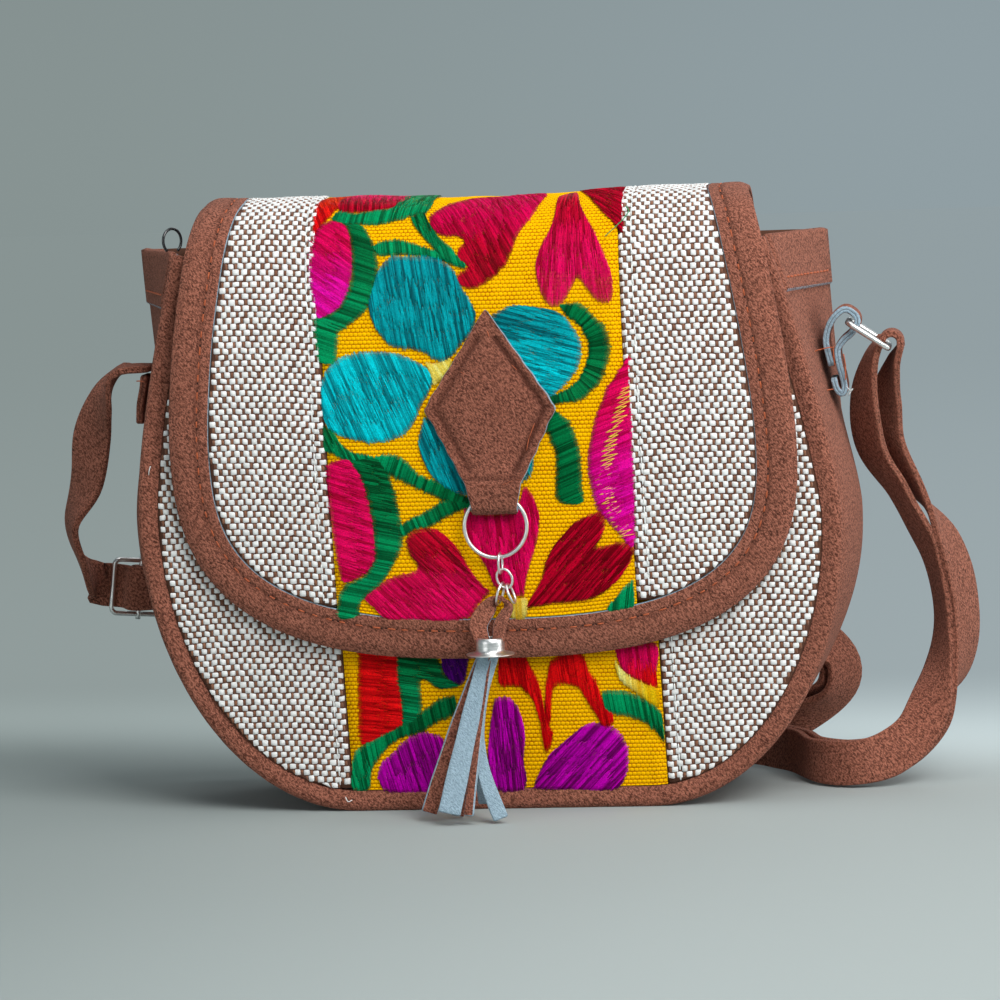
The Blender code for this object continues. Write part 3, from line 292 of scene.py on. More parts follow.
# How the body narrows to its mouth: the power of the curve. Where the gusset starts to bow out, as shares
# of the round corner's height, and where it is flat again, as shares of the body's: start and reach
MOUTH_POWER = 1.4
BOW_START = (0.2, 0.7)
BOW_END = (0.50, 0.30)
# Running stitches: pitch, length, start and wander. Thread: half width and height, stations along it and
# lift, and for some a bow of its middle and a sink of its ends.
HEM_STITCHES = {"pitch": 0.0048, "length": 0.0032, "offset": 0.002, "wander": 0.0002}
HEM_THREAD = {"half_width": 0.0004, "half_height": 0.0003, "stations": 5, "lift": 0.0001}

SUEDE_BROWN = (0.230, 0.076, 0.046, 1.0)
SUEDE_DEEP = (0.062, 0.015, 0.008, 1.0)
SUEDE_LIT = (0.520, 0.190, 0.122, 1.0)
FLESH_PALE = (0.400, 0.540, 0.630, 1.0)
FLESH_DEEP = (0.250, 0.345, 0.420, 1.0)
PLY_LINE = (0.060, 0.030, 0.026, 1.0)
NAP_FLECK = 0.00034
NAP_HAIR = 0.00054
NAP_SLANT = 0.7
NAP_CLOUD = 0.0090
NAP_BRUSH = 0.0016
NAP_RELIEF = 0.00065
STITCH_ORANGE = (0.700, 0.150, 0.040, 1.0)
STITCH_ORANGE_DEEP = (0.300, 0.070, 0.030, 1.0)
HOLE_SHADE_DARK = (0.018, 0.007, 0.005, 1.0)
HOLE_SHADE_BROWN = (0.050, 0.020, 0.014, 1.0)


def unit(vectors):
    """Vectors scaled to length one along the last axis."""
    return vectors / np.linalg.norm(vectors, axis=-1, keepdims=True)


def smooth_step(share):
    """0 below 0, 1 above 1, and a smooth rise between."""
    share = np.clip(share, 0.0, 1.0)
    return share * share * (3.0 - 2.0 * share)


def leaned(x, z, mouth_lean=BODY_LEAN):
    """The bag leans a little to its left: x moves with height, by nothing at the corner height."""
    rate = np.where(z > CORNER_HEIGHT, mouth_lean, BODY_LEAN)
    return x + rate * (z - CORNER_HEIGHT)


def side_half(z, top_half):
    """Half width of the body above its rounded corners, drawn in towards top_half."""
    share = np.clip((z - CORNER_HEIGHT) / (BODY_HEIGHT - CORNER_HEIGHT), 0.0, 1.0)
    return BODY_HALF - (BODY_HALF - top_half) * share**MOUTH_POWER


def body_outline(top_half, side_z, corners=44, base=10):
    """Outline from the left top down round the base to the right top: points (x, z) and outward normals."""
    turn = np.linspace(0.0, math.pi / 2, corners, endpoint=False)
    corner_x = BASE_HALF + (BODY_HALF - BASE_HALF) * np.cos(turn)
    corner_z = CORNER_HEIGHT * (1 - np.sin(turn))
    base_x = np.linspace(BASE_HALF, 0.0, base)
    x = np.concatenate([side_half(side_z, top_half), corner_x, base_x])
    z = np.concatenate([side_z, corner_z, np.zeros(base)])
    points = np.column_stack([np.concatenate([-x, x[-2::-1]]), np.concatenate([z, z[-2::-1]])])
    along = unit(np.gradient(points, axis=0))
    return points, np.column_stack([along[:, 1], -along[:, 0]])


def edge_depth(z):
    """How far the seams of the front and back stand from the middle of the bag, drawn in at the mouth."""
    return HALF_DEPTH - MOUTH_PINCH * smooth_step((z - CORNER_HEIGHT) / (BODY_HEIGHT - CORNER_HEIGHT))


def gusset_bow(z):
    """How far the gusset bows out at the middle of its depth: nothing at the base or near the mouth."""
    rise = smooth_step((z / CORNER_HEIGHT - BOW_START[0]) / BOW_START[1])
    flat = smooth_step((z / BODY_HEIGHT - BOW_END[0]) / BOW_END[1])
    return GUSSET_BULGE * rise * (1 - flat)


def gusset_hem(z):
    """How far the turned hem at the top of the gusset stands proud of it."""
    return HEM_PROUD * smooth_step((z - BODY_HEIGHT + HEM_HEIGHT + HEM_RAMP) / HEM_RAMP)


def gusset_half(share, z):
    """Half width of the body at a share of its depth from front to back."""
    return side_half(z, FRONT_TOP_HALF) * (1 - share) + side_half(z, BACK_TOP_HALF) * share


def gusset_depth(z):
    """How far the gusset's own edges stand from the middle of the bag, just inside the bindings."""
    return edge_depth(z) - (BINDING_DEPTH - BINDING_PROUD) - GAP


def gusset_face(share, z, side, lift):
    """A point over the gusset at one side, -1 or 1: share of its depth from front to back, and height."""
    bow = gusset_bow(z) * (1 - (2 * share - 1) ** 2) + gusset_hem(z) + lift
    x = leaned(side * (gusset_half(share, z) + bow), z, MOUTH_LEAN)
    return np.stack([x, gusset_depth(z) * (2 * share - 1), z], axis=-1)


def new_piece(name, points, faces, finish, slot, replaced=(), uv=None, **kept):
    """A smooth closed mesh in place of the named CAD nodes, with the kept values on its points."""
    mesh = bpy.data.meshes.new(name)
    mesh.from_pydata(np.asarray(points).tolist(), [], faces)
    shape = bmesh.new()
    shape.from_mesh(mesh)
    bmesh.ops.recalc_face_normals(shape, faces=shape.faces)
    shape.to_mesh(mesh)
    shape.free()
    mesh.shade_smooth()
    mesh.materials.append(finish)
    for label, values in kept.items():
        kind, field = ("FLOAT_COLOR", "color") if np.ndim(values) == 2 else ("FLOAT", "value")
        on_points = mesh.attributes.new(label, kind, "POINT").data
        on_points.foreach_set(field, np.ravel(values).astype(np.float32))
    if uv is not None:
        corners = np.empty(len(mesh.loops), np.int32)
        mesh.loops.foreach_get("vertex_index", corners)
        mesh.uv_layers.new(name="cloth").data.foreach_set("uv", np.ravel(uv[corners]).astype(np.float32))
    made = bpy.data.objects.new(name, mesh)
    bpy.context.scene.collection.objects.link(made)
    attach(made, "root")
    if replaced:
        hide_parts(*replaced)
    return made


def grid_faces(rows, columns, first=0):
    """Four-sided faces of a grid of points."""
    grid = first + np.arange(rows * columns).reshape(rows, columns)
    return np.stack([grid[:-1, :-1], grid[:-1, 1:], grid[1:, 1:], grid[1:, :-1]], axis=-1).reshape(-1, 4)


# What a point of a wall is: its outer or inner face, or the rim along a side of the grid
OUTER, INNER, FIRST_ROW, LAST_COLUMN, LAST_ROW, FIRST_COLUMN = range(-2, 4)


def wall_mesh(outer, inner, bow):
    """A closed wall between two grids of points, its rim bowed out by a share of the wall. Points, faces,
    and for each point what it is, as named above."""
    rows, columns = outer.shape[:2]
    count = rows * columns
    across = np.concatenate([np.arange(columns - 1), np.full(rows - 1, columns - 1)])
    across = np.concatenate([across, np.arange(columns - 1, 0, -1), np.zeros(rows - 1, int)])
    down = np.concatenate([np.zeros(columns - 1, int), np.arange(rows - 1), np.full(columns - 1, rows - 1)])
    down = np.concatenate([down, np.arange(rows - 1, 0, -1)])
    inward = outer[np.clip(down, 1, rows - 2), np.clip(across, 1, columns - 2)]
    top, low = outer[down, across], inner[down, across]
    thick = np.linalg.norm(top - low, axis=-1, keepdims=True)
    rim = (top + low) / 2 + unit(top - inward) * thick * bow
    points = np.vstack([outer.reshape(-1, 3), inner.reshape(-1, 3), rim])
    edge = down * columns + across
    middle = 2 * count + np.arange(len(edge))
    faces = [grid_faces(rows, columns), grid_faces(rows, columns, count)]
    for first, second in ((edge, middle), (middle, edge + count)):
        faces.append(np.stack([first, np.roll(first, -1), np.roll(second, -1), second], axis=-1))
    kinds = [OUTER, INNER, FIRST_ROW, LAST_COLUMN, LAST_ROW, FIRST_COLUMN]
    kind = np.repeat(kinds, [count, count, columns - 1, rows - 1, columns - 1, rows - 1])
    return points, np.vstack(faces).tolist(), kind


def strand_mesh(starts, ends, face, half_width, half_height, stations, lift, bow=0.0, sink=0.0):
    """Threads on a face from start to end, each a closed bar of four sides: left, top, right and under at
    each station, bowed up in the middle and sunk at both ends. Points and faces, all threads in one."""
    share = np.linspace(0.0, 1.0, stations)[None, :]
    line = starts[:, None] * (1 - share[..., None]) + ends[:, None] * share[..., None]
    along = unit(ends - starts + 1e-9)
    side = np.stack([-along[:, 1], along[:, 0]], axis=-1)[:, None, None]
    full = 1 - 0.45 * np.abs(2 * share - 1) ** 3
    level = lift + bow * np.sin(math.pi * share) - sink * np.abs(2 * share - 1) ** 4
    level = np.broadcast_to(level, line.shape[:2])
    across = np.array([-1.0, 0.0, 1.0, 0.0]) * half_width * full[..., None]
    up = np.array([0.0, 1.0, 0.0, -1.0]) * half_height * full[..., None]
    flat = line[:, :, None] + side * across[..., None]
    points = face(flat[..., 0], flat[..., 1], level[..., None] + up).reshape(-1, 3)
    base = 4 * stations * np.arange(len(starts))[:, None, None] + 4 * np.arange(stations - 1)[None, :, None]
    corner = np.arange(4)[None, None]
    following = (corner + 1) % 4
    sides = np.stack([base + corner, base + following, base + following + 4, base + corner + 4], axis=-1)
    first = 4 * stations * np.arange(len(starts))[:, None]
    caps = np.vstack([first + np.arange(4), first + 4 * stations - 1 - np.arange(4)])
    return points, np.vstack([sides.reshape(-1, 4), caps]).tolist()


def sew(name, starts, ends, face, thread, finish, slot="suede"):
    """Threads of one form on a face, as one piece."""
    points, faces = strand_mesh(starts, ends, face, **thread)
    new_piece(name, points, faces, finish, slot)


def along_run(line):
    """How far along a line of points each of them lies."""
    return np.concatenate([[0.0], np.cumsum(np.linalg.norm(np.diff(line, axis=0), axis=1))])


def seam_stitches(line, pitch, length, offset=0.0, wander=0.0):
    """Starts and ends of running stitches along a line of points on a face, one every pitch."""
    run = along_run(line)
    starts = np.arange(offset, run[-1] - length, pitch)
    starts = starts + chance.normal(0.0, 1.0, len(starts)) * wander
    ends = starts + length * (1 + chance.normal(0.0, 1.0, len(starts)) * wander / length)
    return [np.column_stack([np.interp(at, run, column) for column in line.T]) for at in (starts, ends)]


suede_sheen = {"Sheen_Weight": 0.08, "Sheen_Roughness": 0.6, "Sheen_Tint": (1.0, 0.80, 0.70, 1.0)}
suede_finish, suede_shader, nap = new_finish("suede", Roughness=0.97, Specular_IOR_Level=0.15, **suede_sheen)
hairs = nap.noise(NAP_HAIR, 2.0, (1.0, 1.0, 0.55), 0.6, (0.0, NAP_SLANT, 0.0))
fleck = nap.noise(NAP_FLECK, 3.0, roughness=0.7) * 0.35 + hairs * 0.65
cloud = nap.noise(NAP_CLOUD, 3.0)
brush = nap.noise(NAP_BRUSH, 2.0, (1.0, 1.0, 0.5))
face_side = fleck.between(0.37, 0.64).mixed(SUEDE_DEEP, SUEDE_LIT)
face_side = (cloud.between(0.25, 0.75) * 0.20 + 0.08).mixed(face_side, SUEDE_BROWN)
face_side = (brush.between(0.55, 0.80) * 0.20).mixed(face_side, SUEDE_LIT)
flesh_side = (fleck.between(0.36, 0.64) * 0.8 + cloud * 0.2).mixed(FLESH_DEEP, FLESH_PALE)
bare = (nap.kept("cut") + nap.kept("flesh") + (fleck - 0.5) * 0.5).between(0.42, 0.62)
suede_colour = bare.mixed(face_side, flesh_side)
ply = (nap.kept("ply") + (fleck - 0.5) * 0.8).between(0.55, 0.85)
suede_colour = (ply * 0.85).mixed(suede_colour, PLY_LINE)
# Painted shade: where a piece marks its points, the suede darkens towards deep brown.
suede_colour = (nap.kept("worn") * 0.8).mixed(suede_colour, SUEDE_DEEP)
feed(
    suede_shader,
    Base_Color=suede_colour,
    Normal=nap.raised(fleck * 1.3 + brush * 0.3 + cloud * 0.5, NAP_RELIEF),
)

orange_finish = mottled("orange thread", STITCH_ORANGE, STITCH_ORANGE_DEEP, 0.0006, Roughness=0.55)
hole_shade_finish = mottled("needle hole shade", HOLE_SHADE_DARK, HOLE_SHADE_BROWN, 0.0004, Roughness=1.0)

hem_z = BODY_HEIGHT - HEM_HEIGHT - HEM_RAMP * np.array([-0.5, 0.0, 0.35, 0.7, 1.0])
above_hem = np.linspace(BODY_HEIGHT, hem_z[0] + HEM_RAMP, 9)
below_hem = np.linspace(hem_z[-1] - 2 * HEM_RAMP, CORNER_HEIGHT, 26, endpoint=False)
gusset_z = np.concatenate([above_hem, hem_z, below_hem])
front_line, front_out = body_outline(FRONT_TOP_HALF, gusset_z)
back_line, back_out = body_outline(BACK_TOP_HALF, gusset_z)
depth_share = np.linspace(0.0, 1.0, 21)[None, :, None]
gusset_line = front_line[:, None] * (1 - depth_share) + back_line[:, None] * depth_share
gusset_out = unit(front_out[:, None] * (1 - depth_share) + back_out[:, None] * depth_share)
gusset_height = gusset_line[..., 1]
gusset_lift = gusset_bow(gusset_height) * (1 - (2 * depth_share[..., 0] - 1) ** 2)


def gusset_grid(offset):
    """The gusset's strip moved out by an offset, as one grid from top to top round the base."""
    moved = gusset_line + gusset_out * offset[..., None]
    x = leaned(moved[..., 0], gusset_height, MOUTH_LEAN)
    return np.stack([x, gusset_depth(gusset_height) * (2 * depth_share[..., 0] - 1), moved[..., 1]], axis=-1)


points, faces, kind = wall_mesh(
    gusset_grid(gusset_lift + gusset_hem(gusset_height)), gusset_grid(gusset_lift - SUEDE_WALL), SOFT_RIM
)
raw_edge = BODY_HEIGHT - HEM_HEIGHT - 0.35 * HEM_RAMP
hem_cut = np.zeros(len(kind))
hem_cut[kind == OUTER] = HEM_PALE * (np.abs(gusset_height - raw_edge).ravel() < 0.6 * HEM_RAMP)
inside = (kind == INNER).astype(float)
gusset = new_piece(
    "gusset_suede", points, faces, suede_finish, "suede", ["gusset"], cut=hem_cut, flesh=inside
)

for side, label in ((-1, "left"), (1, "right")):
    seam_y = 2 * HALF_DEPTH * np.linspace(0.04, 0.96, 12)
    seam = np.column_stack([seam_y, np.full(12, BODY_HEIGHT - HEM_HEIGHT + HEM_STITCH_HEIGHT)])
    starts, ends = seam_stitches(seam, **HEM_STITCHES)
    sew(
        f"hem_stitches_{label}", starts, ends,
        lambda y, z, lift: gusset_face(y / (2 * HALF_DEPTH), z, side, lift), HEM_THREAD, orange_finish,
    )


# Body bindings: strips of the same suede folded over the seams between the gusset and the front and back.
# Each stands up quickly from its fold at the outside and slopes down to the panel.

BINDING_SHARES = np.array([0.0, 0.06, 0.14, 0.26, 0.40, 0.55, 0.70, 0.84, 0.94, 1.0])
BINDING_RIPPLE = 0.00012
FOLD_RISE = 0.15
FOLD_SHARE = 0.28
PANEL_FALL = 0.62


def round_rise(share, low, reach):
    """A rise from low by a quarter of a sine wave that is done at this reach."""
    return low + (1 - low) * np.sin(np.clip(share / reach, 0.0, 1.0) * math.pi / 2)


def binding_lift(share):
    """How proud the strip stands, as a share of the whole: quickly up from its fold, then down again."""
    return round_rise(share, FOLD_RISE, FOLD_SHARE) - PANEL_FALL * smooth_step((share - 0.50) / 0.50)


rising_z = np.linspace(BODY_HEIGHT, CORNER_HEIGHT, 36, endpoint=False)
for node, top_half, facing in (("front_binding", FRONT_TOP_HALF, -1), ("back_binding", BACK_TOP_HALF, 1)):
    outline, out = body_outline(top_half, rising_z)
    line = outline[:, None] - out[:, None] * (BINDING_WIDTH * BINDING_SHARES)[None, :, None]
    depth = edge_depth(outline[:, 1])[:, None]
    ripple = BINDING_RIPPLE * np.sin(np.arange(len(outline)) * 1.9)[:, None]
    x = leaned(line[..., 0], line[..., 1], MOUTH_LEAN)
    proud = facing * (depth + BINDING_PROUD * binding_lift(BINDING_SHARES) + ripple)
    behind = facing * (depth - (BINDING_DEPTH - BINDING_PROUD) + 0 * BINDING_SHARES)
    outer, inner = [np.stack([x, y, line[..., 1]], axis=-1) for y in (proud, behind)]
    points, faces, _ = wall_mesh(outer, inner, SEWN_RIM)
    new_piece(f"{node}_suede", points, faces, suede_finish, "suede", [node])


# Linen: plain weave of white weft over brown warp, in the front and back of the body and both sides of the
# flap. Beside the embroidered band its edge is folded under and topstitched in white.

FRONT_BULGE = 0.006
BACK_BULGE = 0.003
LINEN_WALL = 0.0020
CLOTH_BACK = LINEN_WALL - 0.0002
WEAVE_HALF = 0.13
FRONT_BAND_HALF = 0.0545
FRONT_BAND_OFFSET = 0.0020
FLAP_HALF = 0.107
FLAP_TOP_HALF = 0.094
FLAP_ROUND = 0.073
FLAP_ROUND_POWER = 2.75
FLAP_TAPER_LENGTH = 0.092
FLAP_BINDING_WIDTH = 0.0137
FLAP_BINDING_THICK = 0.0030
FLAP_CROWN = 0.0050
FLAP_DIP = 0.0015
FLAP_BAND_HALF = 0.0515
FLAP_BAND_OFFSET = -0.0010
FLAP_CLOTH = FLAP_BINDING_THICK - 0.0005
FLAP_TAPER_POWER = 1.5
# Inner face of the flap at the middle: y as a share of HALF_DEPTH, z as a share of BODY_HEIGHT
FLAP_PROFILE = np.array([
    (0.886, 0.820), (0.850, 0.912), (0.780, 0.990), (0.570, 1.047), (0.200, 1.074), (-0.180, 1.075),
    (-0.530, 1.055), (-0.815, 1.000), (-0.965, 0.918), (-1.095, 0.795), (-1.195, 0.645), (-1.235, 0.490),
    (-1.225, 0.360), (-1.190, 0.276),
])

YARN_STEP = 0.00155
ROW_STEP = 0.00206
WHITE_FLOAT = {"half_x": 0.00123, "half_v": 0.00115, "height": 0.00044}
BROWN_FLOAT = {"half_x": 0.00068, "half_v": 0.00102, "height": 0.00038}
FLOAT_STATIONS = {3: (-1.0, 0.0, 1.0), 4: (-1.0, -0.70, 0.70, 1.0)}
ROW_ARCH = 0.0017
ARCH_END = 0.11
# Waves of the yarns: size and rate across or along the panel; margins of the field of floats
YARN_WANDER = (0.00012, 900.0)
YARN_SWAY = (0.0004, 45.0)
ROW_WANDER = (0.00010, 700.0)
END_MARGIN = 0.0008
SIDE_MARGIN = 0.0004
FOLD_MARGIN = 0.0002
YARN_SWELL = 0.075
YARN_TILT = 0.09
YARN_SUNK = 0.00012
LINEN_PUCKER = 0.00028
FOLD_ROLL = 0.0014
FOLD_DROP = 0.0011
GROOVE_DEPTH = 0.00045
GROOVE_HALF = 0.0008
TOPSTITCH_INSET = 0.0042
# The floats are drawn only where they show: below these heights, or farther out than the flap reaches
FRONT_SHOWN = 0.112
BACK_SHOWN = 0.170
BESIDE_FLAP = 0.084
LINEN_WHITE = (0.960, 0.955, 0.935, 1.0)
LINEN_SHADE = (0.640, 0.650, 0.640, 1.0)
LINEN_BROWN = (0.330, 0.140, 0.070, 1.0)
LINEN_BROWN_DEEP = (0.120, 0.040, 0.018, 1.0)
LINEN_GAP_SHADE = (0.080, 0.034, 0.020, 1.0)


def curve_through(rows, step):
    """Points every step along a Catmull-Rom curve through rows that start with x, y and z."""
    rows = np.asarray(rows, dtype=float)
    ends = np.vstack([2 * rows[0] - rows[1], rows, 2 * rows[-1] - rows[-2]])
    share = np.linspace(0.0, 1.0, 24, endpoint=False)[:, None]
    fine = []
    for before, start, end, after in zip(ends, ends[1:], ends[2:], ends[3:]):
        bend = 2 * before - 5 * start + 4 * end - after
        twist = 3 * start - before - 3 * end + after
        fine.append(0.5 * (2 * start + (end - before) * share + bend * share**2 + twist * share**3))
    fine = np.vstack(fine + [rows[-1:]])
    run = along_run(fine[:, :3])
    count = max(2, int(round(run[-1] / step)) + 1)
    places = np.linspace(0.0, run[-1], count)
    return np.column_stack([np.interp(places, run, column) for column in fine.T])


profile_rows = np.column_stack([0 * FLAP_PROFILE[:, 0], FLAP_PROFILE * [HALF_DEPTH, BODY_HEIGHT]])
PROFILE = curve_through(profile_rows, 0.001)[:, 1:]
PROFILE_RUN = along_run(PROFILE)
profile_way = unit(np.gradient(PROFILE, axis=0))
PROFILE_OUT = np.column_stack([profile_way[:, 1], -profile_way[:, 0]])
FLAP_LENGTH = float(PROFILE_RUN[-1])


def bulge_share(x, z, top_half):
    """1 in the middle of a panel and 0 at its sides, top and bottom."""
    across = 1 - np.clip(x / side_half(z, top_half), -1, 1) ** 2
    return across * np.sin(math.pi * np.clip(z / BODY_HEIGHT, 0, 1))


def front_face(x, z, lift):
    """A point of the front of the body, lifted off its outer face."""
    y = -edge_depth(z) - FRONT_BULGE * bulge_share(x, z, FRONT_TOP_HALF) - lift
    return np.stack([leaned(x, z, MOUTH_LEAN), y, z], axis=-1)


def back_face(x, z, lift):
    """A point of the back of the body, lifted off its outer face."""
    y = edge_depth(z) + BACK_BULGE * bulge_share(x, z, BACK_TOP_HALF) + lift
    return np.stack([leaned(x, z, MOUTH_LEAN), y, z], axis=-1)


def flap_point(x, run, lift):
    """A point of the flap: x across, run down it from the back seam, lifted off its inner face."""
    y, z = [np.interp(run, PROFILE_RUN, column) for column in PROFILE.T]
    out_y, out_z = [np.interp(run, PROFILE_RUN, column) for column in PROFILE_OUT.T]
    ahead = smooth_step((FLAP_LENGTH - FLAP_ROUND * 0.4 - run) / FLAP_TAPER_LENGTH)
    crown = FLAP_CROWN * (x / FLAP_HALF) ** 2 * (1 - ahead)
    over = np.clip(-out_y, -1, 1) ** 2
    dip = FLAP_DIP * (1 - over) * np.clip(1 - (x / FLAP_BAND_HALF) ** 2, 0, 1)
    height = z + lift * out_z - dip
    return np.stack([leaned(x, height), y + lift * out_y + crown, height], axis=-1)


def flap_face(x, run, lift):
    """A point of the flap lifted off the outer face of its cloth."""
    return flap_point(x, run, FLAP_CLOTH + lift)


def flap_outline(sides=60, rounds=48):
    """Points (x, run) and normals round the flap laid flat, from the left end of its back seam."""
    side_run = np.linspace(0.0, FLAP_LENGTH - FLAP_ROUND, sides, endpoint=False)
    share = np.clip((FLAP_LENGTH - FLAP_ROUND - side_run) / FLAP_TAPER_LENGTH, 0.0, 1.0)
    side_x = FLAP_HALF - (FLAP_HALF - FLAP_TOP_HALF) * share**FLAP_TAPER_POWER
    turn = np.linspace(0.0, math.pi / 2, rounds + 1)
    power = 2 / FLAP_ROUND_POWER
    round_x = FLAP_HALF * np.clip(np.cos(turn), 0, 1) ** power
    round_run = FLAP_LENGTH - FLAP_ROUND + FLAP_ROUND * np.sin(turn) ** power
    x = np.concatenate([side_x, round_x])
    run = np.concatenate([side_run, round_run])
    points = np.column_stack([np.concatenate([-x, x[-2::-1]]), np.concatenate([run, run[-2::-1]])])
    along = unit(np.gradient(points, axis=0))
    return points, np.column_stack([-along[:, 1], along[:, 0]])


def puckers(x, v):
    """Soft hollows of the cloth from -1 to 1: three slanting waves whose places drift with each other."""
    drift = 1.7 * np.sin(v * 41.0 + 0.6) + 1.1 * np.sin(x * 57.0)
    return (
        0.45 * np.sin(x * 310.0 + v * 120.0 + drift)
        + 0.35 * np.sin(x * 170.0 - v * 260.0 + 1.3 * drift + 1.0)
        + 0.20 * np.sin(v * 420.0 + x * 60.0 - drift)
    )


def half_side(outline, out, width, bottom_first):
    """Half width of a panel inside its binding, as heights or runs and half widths in rising order."""
    inner = outline - out * width
    half = inner[: len(inner) // 2 + 1]
    half = half[::-1] if bottom_first else half
    rising = np.maximum.accumulate(half[:, 1])
    keep = np.concatenate([[True], np.diff(rising) > 1e-6])
    return rising[keep], -half[keep, 0]


def linen_relief(x, v, fold_x):
    """Lift of the linen: puckers, a groove along the topstitching, and a roll down to the folded edge."""
    lift = LINEN_PUCKER * puckers(x, v)
    if fold_x is None:
        return lift
    inside = np.abs(x) - fold_x
    groove = GROOVE_DEPTH * np.exp(-(((inside - TOPSTITCH_INSET) / GROOVE_HALF) ** 2))
    roll = FOLD_DROP * np.clip(1 - inside / FOLD_ROLL, 0.0, 1.0) ** 2
    return lift * np.clip(inside / 0.006, 0.0, 1.0) - groove - roll


def float_mesh(x, v, size, columns, rows, face, relief, limit):
    """Little pillows of yarn at these places of a face: each a grid domed as a root of (1 - s^4)(1 - t^4),
    closed underneath. limit keeps the places inside the panel. Points, faces and a tone for each point."""
    s = np.array(FLOAT_STATIONS[columns])[None, None, :]
    t = np.array(FLOAT_STATIONS[rows])[None, :, None]
    count = len(x)
    swell = 1 + YARN_SWELL * chance.normal(0.0, 1.0, (3, count, 1, 1)).clip(-2, 2)
    tilt = YARN_TILT * chance.normal(0.0, 1.0, (count, 1, 1)).clip(-2, 2)
    across = x[:, None, None] + size["half_x"] * swell[0] * s * (1 - 0.16 * t**2)
    along = v[:, None, None] + size["half_v"] * swell[1] * (t * (1 - 0.20 * s**2) + tilt * s)
    across, along = limit(across, along)
    dome = np.sqrt((1 - s**4) * (1 - t**4)) * (1 - 0.10 * s**2)
    lift = size["height"] * swell[2] * dome - YARN_SUNK * (dome < 0.01)
    points = face(across, along, relief(across, along) + lift).reshape(-1, 3)
    first = columns * rows * np.arange(count)[:, None]
    quads = (first[:, :, None] + grid_faces(rows, columns)[None]).reshape(-1, 4)
    top, right = np.arange(columns), columns * np.arange(1, rows) + columns - 1
    bottom, left = columns * rows - 2 - np.arange(columns - 1), columns * np.arange(rows - 2, 0, -1)
    ring = np.concatenate([top, right, bottom, left])
    tone = np.repeat(chance.random(count), columns * rows)
    return points, quads.tolist() + (first + ring).tolist(), tone


# Painted shade: the ground cloth that shows between the floats is brown, darkened far below the yarn as it
# looks in shade.
shaded_ground_finish = mottled("shaded linen ground", LINEN_GAP_SHADE, LINEN_BROWN_DEEP, 0.0011, 2.0, Roughness=0.95)
white_finish, white_shader, white = new_finish("white yarn", Roughness=0.85, Sheen_Weight=0.15)
slub = white.noise(0.00035, 2.0, (0.35, 1.0, 1.0), 0.7)
white_share = white.kept("tone") ** 2 * 0.35 + slub.between(0.35, 0.75) * 0.30
white_colour = white_share.mixed(LINEN_WHITE, LINEN_SHADE)
feed(white_shader, Base_Color=white_colour, Normal=white.raised(slub, 0.00018, 0.7))
brown_finish, brown_shader, brown = new_finish("brown yarn", Roughness=0.9, Sheen_Weight=0.15)
twist = brown.noise(0.00030, 2.0, (1.0, 1.0, 0.4), 0.7)
brown_colour = (brown.kept("tone") * 0.55 + twist * 0.35).mixed(LINEN_BROWN, LINEN_BROWN_DEEP)
feed(brown_shader, Base_Color=brown_colour, Normal=brown.raised(twist, 0.00015, 0.7))


